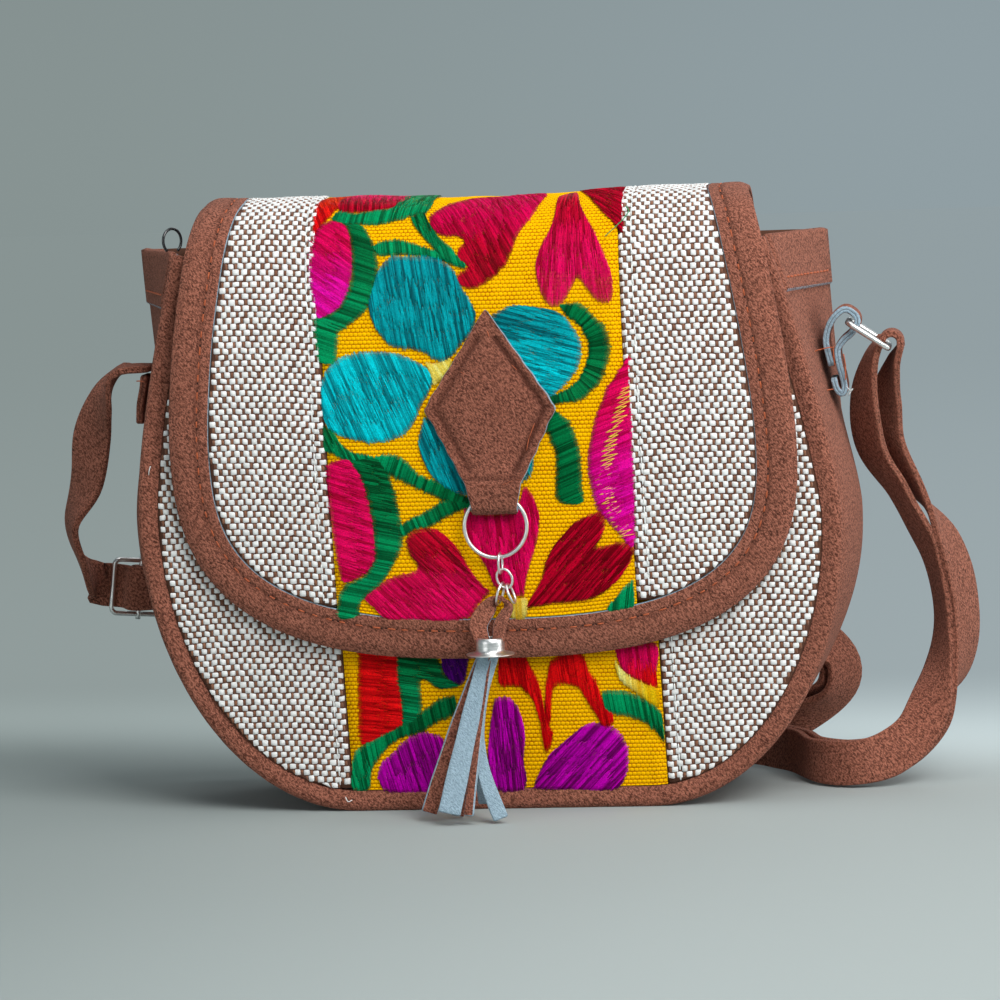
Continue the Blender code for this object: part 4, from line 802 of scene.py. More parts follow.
def linen_panel(node, face, side, side_v, side_x, centre_x, fold_x, shown, arch, brown_shape, flat, area):
    """A linen panel in place of a node: its ground cloth, and the floats of both yarns where it is shown.
    side_v and side_x give its half width. A side panel, -1 or 1, runs from fold_x out to it; a whole one,
    0, from side to side."""
    low_v, high_v = side_v[0], side_v[-1]
    fold = fold_x or 0.0

    def half_at(v):
        return np.interp(v, side_v, side_x)

    def relief(x, v):
        return linen_relief(x - centre_x, v, fold_x)

    def limit(x, v):
        v = np.clip(v, low_v, high_v)
        if not side:
            return np.clip(x, -half_at(v), half_at(v)), v
        bound = np.maximum(half_at(v), fold + FOLD_MARGIN) - side * centre_x
        return centre_x + side * np.clip(np.abs(x - centre_x), fold, bound), v

    rows = np.linspace(low_v, high_v, max(12, int((high_v - low_v) / 0.0030)))
    span = np.linspace(0.0, 1.0, 26 if side else 60)[None]
    bound = half_at(rows)[:, None]
    if side:
        bound = np.maximum(bound - side * centre_x, fold + 0.0004)
        x = centre_x + side * (fold + (bound - fold) * span**1.6)
    else:
        x = bound * (2 * span - 1)
    v = np.repeat(rows[:, None], span.shape[1], axis=1)
    points, faces, _ = wall_mesh(face(x, v, relief(x, v)), face(x, v, 0 * x - CLOTH_BACK), 0.1)
    ground = new_piece(f"{node}_linen", points, faces, shaded_ground_finish, "linen", [node])

    column = np.arange(math.floor(-WEAVE_HALF / YARN_STEP), math.ceil(WEAVE_HALF / YARN_STEP) + 1)
    row = np.arange(math.floor(low_v / ROW_STEP), math.ceil(high_v / ROW_STEP) + 1)
    across, down = [grid.ravel() for grid in np.meshgrid(column, row)]
    x = across * YARN_STEP
    spread = (np.abs(x - centre_x) - fold) / (ARCH_END - fold)
    v = down * ROW_STEP + arch * (1 - (2 * np.clip(spread, 0, 1) - 1) ** 2)
    x = x + YARN_WANDER[0] * np.sin(v * YARN_WANDER[1] + across) + YARN_SWAY[0] * np.sin(v * YARN_SWAY[1])
    v = v + ROW_WANDER[0] * np.sin(x * ROW_WANDER[1] + down)
    held = (np.abs(x) < half_at(v) - SIDE_MARGIN) & (v > low_v + END_MARGIN) & (v < high_v - END_MARGIN)
    held &= (v < shown) | (np.abs(x) > BESIDE_FLAP)
    if side:
        held &= side * (x - centre_x) > fold + FOLD_MARGIN
    over = (across + down) % 2 == 0
    for label, chosen, size, finish, shape in (
        ("white", held & over, WHITE_FLOAT, white_finish, (4, 4)),
        ("brown", held & ~over, BROWN_FLOAT, brown_finish, brown_shape),
    ):
        points, faces, tone = float_mesh(x[chosen], v[chosen], size, *shape, face, relief, limit)
        new_piece(f"{node}_{label}_yarn", points, faces, finish, "linen", tone=tone)


def reaching(v, x, fold_x):
    """The part of a side's table where the panel is wider than its folded edge."""
    keep = x > fold_x + 0.0006
    return v[keep], x[keep]


front_z, front_x = half_side(*body_outline(FRONT_TOP_HALF, rising_z), BINDING_WIDTH + GAP, True)
back_z, back_x = half_side(*body_outline(BACK_TOP_HALF, rising_z), BINDING_WIDTH + GAP, True)
flap_run, flap_x = half_side(*flap_outline(), FLAP_BINDING_WIDTH + GAP, False)
front_fold = FRONT_BAND_HALF - FOLD_MARGIN
flap_fold = FLAP_BAND_HALF - FOLD_MARGIN
front_side = reaching(front_z, front_x, front_fold + FRONT_BAND_OFFSET)
flap_side = reaching(flap_run, flap_x, flap_fold - FLAP_BAND_OFFSET)
for node, side in (("front_left", -1), ("front_right", 1)):
    linen_panel(
        node, front_face, side, *front_side, FRONT_BAND_OFFSET, front_fold, FRONT_SHOWN, ROW_ARCH, (3, 4),
        (0.062, 0.186), 0.0090,
    )
for node, side in (("flap_left", -1), ("flap_right", 1)):
    linen_panel(
        node, flap_face, side, *flap_side, FLAP_BAND_OFFSET, flap_fold, FLAP_LENGTH, -ROW_ARCH, (3, 4),
        (0.042, 0.228), 0.0078,
    )
linen_panel(
    "back_panel", back_face, 0, back_z, back_x, 0.0, None, BACK_SHOWN, 0.0, (3, 3), (0.227, 0.186), 0.0370
)


# Embroidered bands: yellow cotton woven in fine ribs, one strip down the front of the body and one over the
# flap, worked all over with flowers and leaves in satin stitch of bright cotton thread.

BAND_RECESS = 0.0005
RIB_STEP = 0.00138
RIB_HEIGHT = 0.00030
RIB_CELL = 0.00150
RIB_ROWS = 4
COTTON_PUCKER = 0.00024
EDGE_ZONE = 0.012
COTTON_YELLOW = (1.0, 0.530, 0.000, 1.0)
COTTON_PAINTED_SHADE = (0.520, 0.145, 0.000, 1.0)
SATIN_PITCH = 0.00034
SATIN_HALF = 0.00019
SATIN_THICK = 0.00011
SATIN_LIFT = 0.00062
SATIN_LAYER = 0.00005
SATIN_SINK = 0.00006
SATIN_STATIONS = 6
SATIN_SHORTEST = 0.0004
SATIN_LONGEST = 0.0105
SATIN_OVERLAP = 0.0018
RAGGED = 0.00042

cotton_finish, cotton_shader, cotton = new_finish("yellow cotton", Roughness=0.9, Specular_IOR_Level=0.04)
laid = cotton.node("ShaderNodeUVMap", {"uv_map": "cloth"}, {})
down = laid.part(1)
cell = ((laid.part(0) + down.math("FLOOR", down) * 0.5) * math.pi).ribs()
rib = (down * math.pi).ribs()
body = rib**0.6 * (cell**0.8 * 0.68 + 0.32)
worn_cotton = cotton.noise(0.0042, 2.0).between(0.3, 0.8) * 0.22
# Painted shade: the cotton darkens in the valleys between its ribs and cells; patches of noise also darken it
# at random.
cotton_colour = (body * 1.15 - worn_cotton).between(0.10, 0.66).mixed(COTTON_PAINTED_SHADE, COTTON_YELLOW)
feed(cotton_shader, Base_Color=cotton_colour, Normal=cotton.raised(cell**0.6 + rib * 0.4, 0.00022, 0.9))


def cotton_band(node, face, half, centre_x, low, ends):
    """Ribbed cotton in place of a node: rows of the weave run across, and the last of them follow the
    binding. ends gives where the strip stops at each place across it."""
    high = float(ends.max() if ends.max() > low else ends.min())
    way = 1.0 if high > low else -1.0
    count = int(abs(high - low) / RIB_STEP * RIB_ROWS)
    quarter = np.arange(count + 1)[:, None] / RIB_ROWS
    level = low + way * quarter[:, 0] * RIB_STEP
    x = np.broadcast_to(centre_x + np.linspace(-half, half, len(ends)), (count + 1, len(ends)))
    turn = high - way * EDGE_ZONE
    past = np.clip((level - turn) / (level[-1] - turn), 0.0, 1.0)[:, None]
    v = np.where(past > 0, turn + (ends[None] - turn) * past, level[:, None])
    lift = RIB_HEIGHT * np.abs(np.sin(math.pi * quarter)) - BAND_RECESS + COTTON_PUCKER * puckers(x, v)
    points, faces, _ = wall_mesh(face(x, v, lift), face(x, v, 0 * x - CLOTH_BACK), 0.05)
    laid = np.stack([x / RIB_CELL, np.broadcast_to(quarter, x.shape)], axis=-1).reshape(-1, 2)
    uv = np.zeros((len(points), 2))
    uv[: 2 * len(laid)] = np.vstack([laid, laid])
    band = new_piece(f"{node}_cotton", points, faces, cotton_finish, "embroidered_cotton", [node], uv=uv)


flap_edge, front_edge = (flap_x[::-1], flap_run[::-1]), (front_x, front_z)
for node, face, half, centre_x, edge, low, flat in (
    ("flap_band", flap_face, FLAP_BAND_HALF, FLAP_BAND_OFFSET, flap_edge, 0.0, (0.103, 0.229)),
    ("front_band", front_face, FRONT_BAND_HALF, FRONT_BAND_OFFSET, front_edge, BODY_HEIGHT, (0.109, 0.186)),
):
    across = np.linspace(-1.0, 1.0, 27) * (half - GAP) + centre_x
    cotton_band(node, face, half - GAP, centre_x, low, np.interp(np.abs(across), *edge))

# Shaded and lit colour of each thread: one dye with painted shade and painted light
THREADS = {
    "green": ((0.000, 0.120, 0.036), (0.000, 0.420, 0.150)),
    "deep green": ((0.000, 0.070, 0.018), (0.000, 0.260, 0.075)),
    "teal": ((0.000, 0.230, 0.270), (0.000, 0.760, 0.860)),
    "deep teal": ((0.000, 0.130, 0.155), (0.000, 0.470, 0.530)),
    "pink": ((0.500, 0.000, 0.040), (1.000, 0.002, 0.150)),
    "magenta": ((0.650, 0.000, 0.190), (1.000, 0.004, 0.520)),
    "crimson": ((0.210, 0.000, 0.006), (0.700, 0.000, 0.030)),
    "red": ((0.450, 0.000, 0.002), (1.000, 0.006, 0.008)),
    "orange red": ((0.700, 0.018, 0.002), (1.000, 0.080, 0.006)),
    "purple": ((0.180, 0.000, 0.130), (0.760, 0.000, 0.620)),
    "violet": ((0.040, 0.000, 0.090), (0.130, 0.002, 0.260)),
    "pale yellow": ((0.900, 0.700, 0.080), (1.000, 0.980, 0.360)),
    "gold": ((0.900, 0.480, 0.000), (1.000, 0.700, 0.006)),
}
# Motifs, in millimetres across and down the flap from the back seam: name, thread at the top, thread at the
# bottom, stitch angle down from level in degrees, focus of fanned stitches, outline
FLAP_MOTIFS = [
    ("red petal", "orange red", "red", 70, None, [
        (-55, 88), (-54, 80), (-51, 73), (-46, 69), (-42, 66), (-45, 80), (-48, 87), (-51, 92), (-54, 97),
    ]),
    ("top petal", "pink", "crimson", 86, None, [
        (-47, 83), (-45, 71), (-40, 64), (-30, 62), (-22, 66), (-25, 81), (-32, 86), (-40, 87), (-45, 87),
    ]),
    ("top stem", "deep green", "green", 98, None, [
        (-48, 90), (-46, 87), (-40, 88), (-33, 86), (-27, 83), (-23, 66), (-14, 62), (-14, 80), (-16, 88),
        (-20, 89), (-24, 91), (-32, 93), (-38, 93), (-44, 93), (-47, 92),
    ]),
    ("hanging leaf", "deep green", "green", 72, None, [
        (-21, 90), (-17, 87), (-15, 92), (-11, 99), (-7, 103), (-4, 107), (-2, 109), (-3.5, 110), (-8, 108),
        (-12, 104), (-16, 99), (-19, 95),
    ]),
    ("level leaf", "green", "green", 84, None, [
        (-34, 102), (-29, 100), (-24, 100), (-18, 102), (-13, 104), (-8, 106), (-3, 109), (-8, 108),
        (-14, 106), (-21, 105), (-27, 105), (-31, 105),
    ]),
    ("left bud", "pink", "magenta", 36, None, [
        (-55, 101), (-53, 96), (-51, 93), (-48, 91.5), (-44, 93), (-42, 97), (-41, 102), (-40.5, 108),
        (-41.5, 113), (-43, 118), (-46, 123), (-50, 125), (-53, 126), (-54, 122), (-55, 115), (-55.5, 108),
    ]),
    ("broad leaf", "deep green", "green", 20, None, [
        (-47, 89), (-43, 93), (-38, 93.5), (-35, 98), (-32.5, 104), (-32, 110), (-33, 115), (-35, 121),
        (-38, 125), (-43.5, 129), (-46.5, 131), (-47, 135), (-48, 141), (-53, 141), (-54, 137),
        (-54.5, 130), (-54, 126.5), (-50.5, 125.5), (-46, 123), (-43, 118.5), (-41, 113), (-40.5, 107),
        (-41, 101.5), (-42, 96), (-45, 92.5), (-47.5, 91),
    ]),
    ("upper disc", "deep teal", "deep teal", 82, None, [
        (-27, 105.5), (-21.5, 106), (-14.5, 106), (-10, 107.5), (-6, 111), (-4, 116), (-1, 121), (1, 126.5),
        (-1, 132), (-4.5, 136), (-9, 141), (-13.5, 141), (-17, 138.5), (-22, 137), (-28, 136), (-32, 132),
        (-34.5, 127), (-35.5, 121.5), (-33.5, 115), (-31.5, 110),
    ]),
    ("left disc", "teal", "teal", 68, None, [
        (-53, 150.5), (-52, 146), (-48, 141), (-42.5, 139), (-34.5, 138), (-26.5, 139), (-20.5, 141.5),
        (-16, 144.5), (-15, 148.5), (-16.5, 152.5), (-19.5, 157), (-21.5, 161.5), (-25, 165.5),
        (-29.5, 167.5), (-36, 168.5), (-42, 167.5), (-47, 166), (-51.5, 163), (-53, 157.5),
    ]),
    ("right disc", "deep teal", "teal", 16, None, [
        (5, 128), (9, 125.5), (14, 123.5), (19.5, 124), (25, 125), (30, 127), (34, 132), (36, 136.5),
        (36, 141.5), (34, 146), (30, 150.5), (25, 154.5), (20.5, 152.5), (14, 144), (9, 137),
    ]),
    ("pink petal", "pink", "crimson", 62, None, [
        (-14.5, 90), (-9, 83), (0, 76), (11, 74), (24, 72), (22, 88), (17, 97), (14, 104.5), (11, 110),
        (6, 114.5), (1, 117), (-3.5, 116), (-4.5, 113), (-1, 110), (-4, 107), (-4, 103.5), (-2, 101),
        (-5, 98.5), (-10.5, 98), (-13.5, 94.5),
    ]),
    ("heart petal", "crimson", "pink", 90, (34, 40), [
        (29.5, 78), (35, 76), (37.5, 88), (41.5, 97.5), (44.5, 104.5), (47, 111.5), (48, 117.5),
        (47.5, 122), (45, 123.5), (42, 122), (39, 118), (36, 114.5), (34, 118), (31, 122.5), (28, 124),
        (25, 122.5), (23, 117), (22, 110.5), (24, 104), (26.5, 99), (28.5, 92),
    ]),
    ("corner petal", "crimson", "crimson", 45, None, [
        (36, 72), (44, 68), (51, 67), (52, 91), (52, 100), (49, 96), (45, 91), (41, 84),
    ]),
    ("crescent", "deep green", "deep green", 0, (26, 140), [
        (29.5, 124), (33, 123.5), (36.5, 123.5), (39.5, 126.5), (43.5, 130.5), (45.5, 134.5), (46, 139.5),
        (44.5, 144.5), (42.5, 149.5), (39, 153), (35, 156), (29.5, 156.5), (25, 157), (24.5, 155.5),
        (30, 153), (34, 150.5), (37, 146), (39, 140.5), (38.5, 135), (36, 130.5), (32.5, 127.5),
    ]),
    ("pale patch", "pale yellow", "pale yellow", 60, None, [
        (-17, 142), (-12.5, 142.5), (-8, 141), (-9.5, 145.5), (-14, 149.5), (-15, 147),
    ]),
    ("lower disc", "deep teal", "deep teal", 70, None, [
        (-18, 160.5), (-20.5, 169.5), (-17.5, 179), (-11, 185), (-4, 187), (8, 186), (15, 182), (18, 178),
        (17, 171), (12, 166),
    ]),
    ("left stem", "deep green", "green", 66, None, [
        (-53, 162.5), (-49, 165.5), (-47, 169), (-43, 172), (-38, 173), (-35.5, 174.5), (-42, 175),
        (-46, 174.5), (-50, 172), (-53, 170.5),
    ]),
    ("upper leaf", "green", "deep green", 112, None, [
        (-36, 173.5), (-30, 173), (-25.5, 175), (-21, 180), (-15, 182.5), (-7, 187), (-4, 189),
        (-4.5, 190.5), (-12, 189), (-18, 186), (-23.5, 183.5), (-28, 181), (-32, 179), (-34.5, 176),
    ]),
    ("lower leaf", "deep green", "green", 70, None, [
        (-29, 197), (-25, 195), (-18.5, 192), (-13.5, 189), (-7.5, 189), (-4, 190.5), (-8, 192),
        (-12.5, 194), (-18, 197), (-23.5, 198), (-28, 200.5),
    ]),
    ("round stem", "deep green", "green", 12, None, [
        (-44, 174.5), (-35.5, 174), (-32.5, 177.5), (-30.5, 183), (-29.5, 188.5), (-28.5, 195),
        (-28, 200.5), (-29.5, 205.5), (-32.5, 211), (-36.5, 216), (-42.5, 221), (-44.5, 223.5),
        (-45.5, 228), (-52, 228), (-51.5, 222), (-49, 217), (-45.5, 215.5), (-41, 213), (-38, 208.5),
        (-37.5, 202.5), (-38, 194), (-39, 187), (-41, 180), (-43.5, 176),
    ]),
    ("lower left bud", "pink", "pink", 18, None, [
        (-52.5, 176), (-49, 174.5), (-44.5, 174.5), (-41.5, 178), (-39.5, 184.5), (-38.5, 190.5),
        (-37.5, 198), (-37.5, 204), (-38, 208.5), (-41, 212.5), (-46, 215), (-49.5, 215.5), (-50.5, 211.5),
        (-51.5, 202), (-52, 193), (-52.5, 183.5),
    ]),
    ("left heart", "crimson", "pink", 46, None, [
        (-26.5, 202), (-24.5, 199), (-19.5, 198), (-16, 198.5), (-12, 202), (-9, 205.5), (-7, 209.5),
        (-4.5, 214), (-1.5, 218), (0.5, 220), (-3.5, 223.5), (-6.5, 228), (-11, 229), (-18, 229.5),
        (-27.5, 229), (-36, 228), (-39, 225), (-42.5, 221), (-37.5, 217.5), (-32.5, 214.5), (-24.5, 212.5),
        (-23.5, 210), (-26, 206.5),
    ]),
    ("ring heart", "pink", "pink", 85, None, [
        (-6.5, 191.5), (-3, 193), (4, 194), (11.5, 192), (14.5, 185), (17, 187.5), (18.5, 191.5), (19, 196),
        (18, 202), (16.5, 206.5), (14.5, 211.5), (13, 217), (11.5, 221.5), (6.5, 220), (2.5, 218), (1, 214),
        (-1.5, 208.5), (-4.5, 204.5), (-6, 198.5),
    ]),
    ("right heart", "crimson", "crimson", 134, None, [
        (12, 226), (15, 221.5), (18.5, 216), (20.5, 210), (23, 205.5), (27, 201), (31, 197), (36, 195),
        (40, 194), (41, 198), (39.5, 202.5), (37.5, 205.5), (41.5, 205.5), (45.5, 204.5), (50, 206),
        (49, 210.5), (45.5, 215.5), (40.5, 220), (35, 223), (28, 224), (20, 224.5), (14.5, 225.5),
    ]),
    ("right stem", "deep green", "deep green", -22, None, [
        (25.5, 159), (29.5, 162), (32, 166), (33.5, 171.5), (34, 177.5), (34, 184), (34, 190), (30, 191),
        (25.5, 189), (25.5, 183), (26, 177), (25.5, 171.5), (23.5, 166.5), (23.5, 163.5),
    ]),
    ("long petal", "pink", "magenta", -20, None, [
        (52.5, 141), (49, 146.5), (44.5, 152.5), (42, 158), (40, 162.5), (38.5, 168), (37, 174), (37, 181),
        (38, 187), (39, 192.5), (42, 196.5), (46.5, 202), (50, 206), (51, 195), (51.5, 180), (52, 164.5),
        (52, 157),
    ]),
    ("green corner", "green", "green", 100, None, [
        (49.5, 217), (46, 220), (42.5, 224), (40, 227), (45, 227.5), (49, 226),
    ]),
    ("pale knot", "pale yellow", "gold", 90, None, [
        (6.5, 223.5), (9, 223), (13, 223), (12, 229), (7.5, 229),
    ]),
    ("back disc, left", "teal", "teal", 75, None, [
        (-44, 22), (-36, 16), (-26, 16), (-18, 22), (-16, 31), (-20, 40), (-29, 44), (-38, 42), (-44, 34),
    ]),
    ("back leaf, left", "green", "deep green", 30, None, [
        (-52, 6), (-44, 4), (-46, 14), (-50, 26), (-50, 40), (-44, 50), (-34, 54), (-44, 57), (-52, 50),
        (-54, 30),
    ]),
    ("back petal, middle", "pink", "crimson", 88, None, [
        (-8, 10), (0, 4), (8, 10), (13, 24), (10, 40), (0, 52), (-9, 40), (-13, 24),
    ]),
    ("back leaf, right", "deep green", "green", 25, None, [
        (17, 8), (24, 12), (28, 24), (27, 38), (20, 50), (14, 56), (18, 44), (21, 30), (20, 18),
    ]),
    ("back heart, right", "crimson", "pink", 84, None, [
        (40, 8), (47, 14), (50, 26), (49, 40), (44, 48), (40, 42), (35, 48), (31, 40), (31, 26), (34, 14),
    ]),
]
# The same, with heights above the base in place of the way down
FRONT_MOTIFS = [
    ("red block", "red", "red", 6, None, [
        (-46.5, 56), (-34, 56), (-33.5, 47), (-33, 39), (-33, 31), (-37, 28), (-43, 25), (-46, 24),
        (-48.5, 26.5),
    ]),
    ("green fork", "deep green", "green", 10, None, [
        (-34, 56), (-22, 56), (-17.5, 47.5), (-13, 43.5), (-19.5, 42.5), (-25.5, 46), (-26.5, 42),
        (-26.5, 35.5), (-29, 31), (-33, 30), (-33, 39), (-34, 47),
    ]),
    ("green band", "deep green", "green", 82, None, [
        (-14.5, 40), (-20, 38.5), (-26.5, 34), (-33, 30), (-39, 27), (-45.5, 24), (-50.5, 20.5), (-52, 15),
        (-52.5, 8), (-47, 7.5), (-45, 15), (-40, 21.5), (-34.5, 25.5), (-27, 27.5), (-22, 30.5), (-15, 34),
    ]),
    ("dark bud", "violet", "violet", 80, None, [
        (-18.5, 56), (-9.5, 56), (-10.5, 46.5), (-13, 44), (-17.5, 47.5),
    ]),
    ("left bud", "purple", "purple", 76, None, [
        (-43.5, 11.5), (-41.5, 16.5), (-37, 20.5), (-32, 25), (-27, 27), (-22, 26), (-19.5, 23.5),
        (-21.5, 14.5), (-25.5, 7), (-28.5, 6), (-36.5, 6.5), (-41.5, 7.5),
    ]),
    ("middle bud", "purple", "purple", 88, None, [
        (-1, 38.5), (2.5, 39), (5.5, 37.5), (7.5, 32.5), (8.5, 26), (7.5, 17.5), (7, 7), (-2.5, 7),
        (-5, 14), (-4, 24), (-2.5, 32),
    ]),
    ("left arch", "red", "red", 85, None, [
        (2, 56), (9, 55), (12.5, 48.5), (14.5, 43.5), (15.5, 36.5), (16.5, 30), (18, 26), (17, 22),
        (15, 20), (14.5, 26), (13.5, 32.5), (12, 38), (9, 42), (6, 43), (1, 44),
    ]),
    ("right arch", "red", "red", 85, None, [
        (19, 51), (24, 54), (29.5, 54), (32, 47.5), (34.5, 42.5), (36, 37), (39, 32), (38.5, 29),
        (35.5, 28), (33.5, 32), (30.5, 37.5), (28, 42), (23, 43.5), (20, 42.5), (18.5, 38), (17.5, 30),
        (16, 27.5), (16, 34), (17, 43),
    ]),
    ("right bud", "purple", "purple", 135, None, [
        (10, 7), (12.5, 12.5), (16, 18), (21, 22.5), (26, 26.5), (30, 29), (35, 29), (39.5, 27), (43, 21.5),
        (43, 16), (42, 11), (38.5, 6.5), (27, 6), (17.5, 6.5),
    ]),
    ("corner petal", "pink", "red", 88, None, [
        (41, 56), (48, 56), (55.5, 56), (55, 46.5), (54.5, 41), (50.5, 43), (46, 45.5), (43, 48.5),
    ]),
    ("pale fringe", "pale yellow", "gold", 88, None, [
        (41, 51), (43, 48), (46, 45), (50.5, 42.5), (55, 40.5), (55, 35), (52.5, 35.5), (48, 39.5),
        (43.5, 43), (41.5, 46.5),
    ]),
    ("green sprig", "green", "deep green", 82, None, [
        (36, 40), (40, 40.5), (45.5, 39.5), (51, 36.5), (55.5, 32.5), (56, 27.5), (56, 23), (53.5, 26),
        (49.5, 29.5), (44.5, 31.5), (39.5, 32.5), (36.5, 33.5),
    ]),
    ("hidden disc", "teal", "teal", 75, None, [
        (-38, 100), (-28, 110), (-14, 112), (-4, 104), (-6, 90), (-18, 80), (-32, 84),
    ]),
    ("hidden petal", "pink", "crimson", 80, None, [
        (14, 78), (26, 76), (38, 86), (42, 102), (34, 116), (22, 118), (14, 104),
    ]),
]
# A zigzag of gold thread down the long petal, in the same millimetres
ZIGZAG_LINE = [(51, 152), (48, 161), (44.5, 172), (42, 181), (43, 189), (44.5, 195), (48.5, 203)]
ZIGZAG_STEP = 0.0016
ZIGZAG_HALF = 0.0024
ZIGZAG_WANDER = 0.2
ZIGZAG_LEAN = 0.35
ZIGZAG_THREAD = {"half_width": 0.00013, "half_height": 0.00010, "stations": 6, "lift": 0.00042}
GOLD_DEEP = (0.95, 0.55, 0.01, 1.0)
GOLD_PALE = (1.0, 0.78, 0.10, 1.0)


def satin(outline, angle, focus, up):
    """Stitches that fill an outline: scan lines at the stitch angle, or fanned from a focus, cut where the
    outline crosses them, and split where they are long. Starts, ends, and each stitch's share of the way
    down the motif."""
    ring = np.array(outline) * 0.001
    ring = np.column_stack([ring, np.zeros(len(ring))])
    ring = curve_through(np.vstack([ring, ring[:1]]), 0.0006)[:, :2]
    if focus is None:
        turn = math.radians(angle) * (-1 if up else 1)
        way, cross = np.array([math.cos(turn), math.sin(turn)]), np.array([-math.sin(turn), math.cos(turn)])
        a, b = ring @ way, ring @ cross
        scale = 1.0
    else:
        centre = np.array(focus) * 0.001
        away = ring - centre
        a, b = np.linalg.norm(away, axis=1), np.arctan2(away[:, 1], away[:, 0])
        scale = float(a.mean())
    levels = np.arange(b.min() + 0.3 * SATIN_PITCH / scale, b.max(), SATIN_PITCH / scale)[:, None]
    a_next, b_next = np.roll(a, -1)[None], np.roll(b, -1)[None]
    crossed = (b[None] - levels) * (b_next - levels) < 0
    share = (levels - b[None]) / np.where(np.abs(b_next - b[None]) < 1e-12, 1e-12, b_next - b[None])
    places = np.sort(np.where(crossed, a[None] + share * (a_next - a[None]), np.inf), axis=1)[:, :8]
    first, last = places[:, 0::2], places[:, 1::2]
    found = np.isfinite(last) & (last - first > SATIN_SHORTEST)
    level = np.broadcast_to(levels, first.shape)[found]
    first, last = first[found], last[found]
    first = first - np.abs(chance.normal(0.0, RAGGED, len(first)))
    last = last + np.abs(chance.normal(0.0, RAGGED, len(last)))
    parts = np.maximum(1, np.ceil((last - first) / SATIN_LONGEST).astype(int))
    begins, finishes, kept = [], [], []
    slip = chance.uniform(-0.35, 0.35, len(first))
    for number in range(parts.max()):
        chosen = parts > number
        span = (last - first) / parts
        start = first + span * (number + slip * (number > 0))
        more = number + 1 < parts
        stop = first + span * (number + 1 + slip * more) + SATIN_OVERLAP * more
        begins.append(start[chosen])
        finishes.append(stop[chosen])
        kept.append(level[chosen])
    start, stop, level = np.concatenate(begins), np.concatenate(finishes), np.concatenate(kept)
    if focus is None:
        ends = [at[:, None] * way + level[:, None] * cross for at in (start, stop)]
    else:
        rays = np.column_stack([np.cos(level), np.sin(level)])
        ends = [centre + at[:, None] * rays for at in (start, stop)]
    middle = (ends[0][:, 1] + ends[1][:, 1]) / 2
    down = (middle - ring[:, 1].min()) / np.ptp(ring[:, 1])
    return ends[0], ends[1], 1 - down if up else down


def joined(meshes):
    """Several lots of points and faces as one."""
    faces, offset = [], 0
    for points, lot in meshes:
        faces += [[corner + offset for corner in face] for face in lot]
        offset += len(points)
    return np.vstack([points for points, _ in meshes]), faces


def embroider(name, motifs, face, up):
    """All the stitches of a band as one piece, in painted light and shade at random, dyed from top to bottom.
    """

    def on_cotton(x, v, lift):
        return face(x, v, lift + COTTON_PUCKER * puckers(x, v))

    meshes, dyes = [], []
    for order, (_, thread, other, angle, focus, outline) in enumerate(motifs):
        starts, ends, down = satin(outline, angle, focus, up)
        length = np.linalg.norm(ends - starts, axis=1)
        level = SATIN_LIFT + SATIN_LAYER * (order % 4) - BAND_RECESS
        bow = np.clip(length * 0.035, 0.00008, 0.00030)[:, None]
        meshes.append(strand_mesh(
            starts, ends, on_cotton, SATIN_HALF, SATIN_THICK, SATIN_STATIONS, level, bow, SATIN_SINK
        ))
        share = smooth_step((down - 0.25) / 0.5)[:, None]
        # Painted light: each stitch is lit or shaded at random, mostly in clumps of three, between its
        # thread's shaded and lit colours.
        light = np.repeat(chance.normal(0.5, 0.36, len(starts) // 3 + 1), 3)[: len(starts)]
        light = np.clip(light + chance.normal(0.0, 0.26, len(starts)), 0.0, 1.0)[:, None]
        pairs = np.array([THREADS[thread], THREADS[other]])
        top, bottom = [dark * (1 - light) + pale * light for dark, pale in pairs]
        dye = np.column_stack([top * (1 - share) + bottom * share, np.ones(len(starts))])
        dyes.append(np.repeat(dye, 4 * SATIN_STATIONS, axis=0))
    points, faces = joined(meshes)
    new_piece(name, points, faces, satin_finish, "embroidered_cotton", dye=np.vstack(dyes))


satin_finish, satin_shader, satin_shade = new_finish("satin thread", Roughness=0.45, Specular_IOR_Level=0.06)
fibre = satin_shade.noise(0.00045, 2.0, roughness=0.6)
dyed = satin_shade.kept("dye", "Color")
shaded = satin_shade.node("ShaderNodeVectorMath", {"operation": "SCALE"}, {0: dyed, "Scale": 0.30})
feed(
    satin_shader,
    Base_Color=(fibre.between(0.40, 0.75) * 0.60).mixed(dyed, shaded),
    Normal=satin_shade.raised(fibre, 0.00008, 0.5),
)
embroider("flap_embroidery", FLAP_MOTIFS, flap_face, False)
embroider("front_embroidery", FRONT_MOTIFS, front_face, True)

gold_finish = mottled("gold thread", GOLD_DEEP, GOLD_PALE, 0.0005, Roughness=0.45)
zigzag_rows = np.array(ZIGZAG_LINE) * 0.001
zigzag_run = np.arange(zigzag_rows[0, 1], zigzag_rows[-1, 1], ZIGZAG_STEP / 2)
zigzag_x = np.interp(zigzag_run, zigzag_rows[:, 1], zigzag_rows[:, 0])
swing = ZIGZAG_HALF * np.where(np.arange(len(zigzag_run)) % 2 == 0, -1.0, 1.0)
zigzag_x += swing * (1 + ZIGZAG_WANDER * chance.normal(0, 1, len(swing)))
zigzag = np.column_stack([zigzag_x, zigzag_run - swing * ZIGZAG_LEAN])
sew("zigzag_stitches", zigzag[:-1], zigzag[1:], flap_face, ZIGZAG_THREAD, gold_finish, "embroidered_cotton")


# Flap binding: a broad strip of brown suede folded over the edge of the flap and sewn down with orange
# thread, which draws it into a groove. Its raw inner edge shows the pale side of the suede.

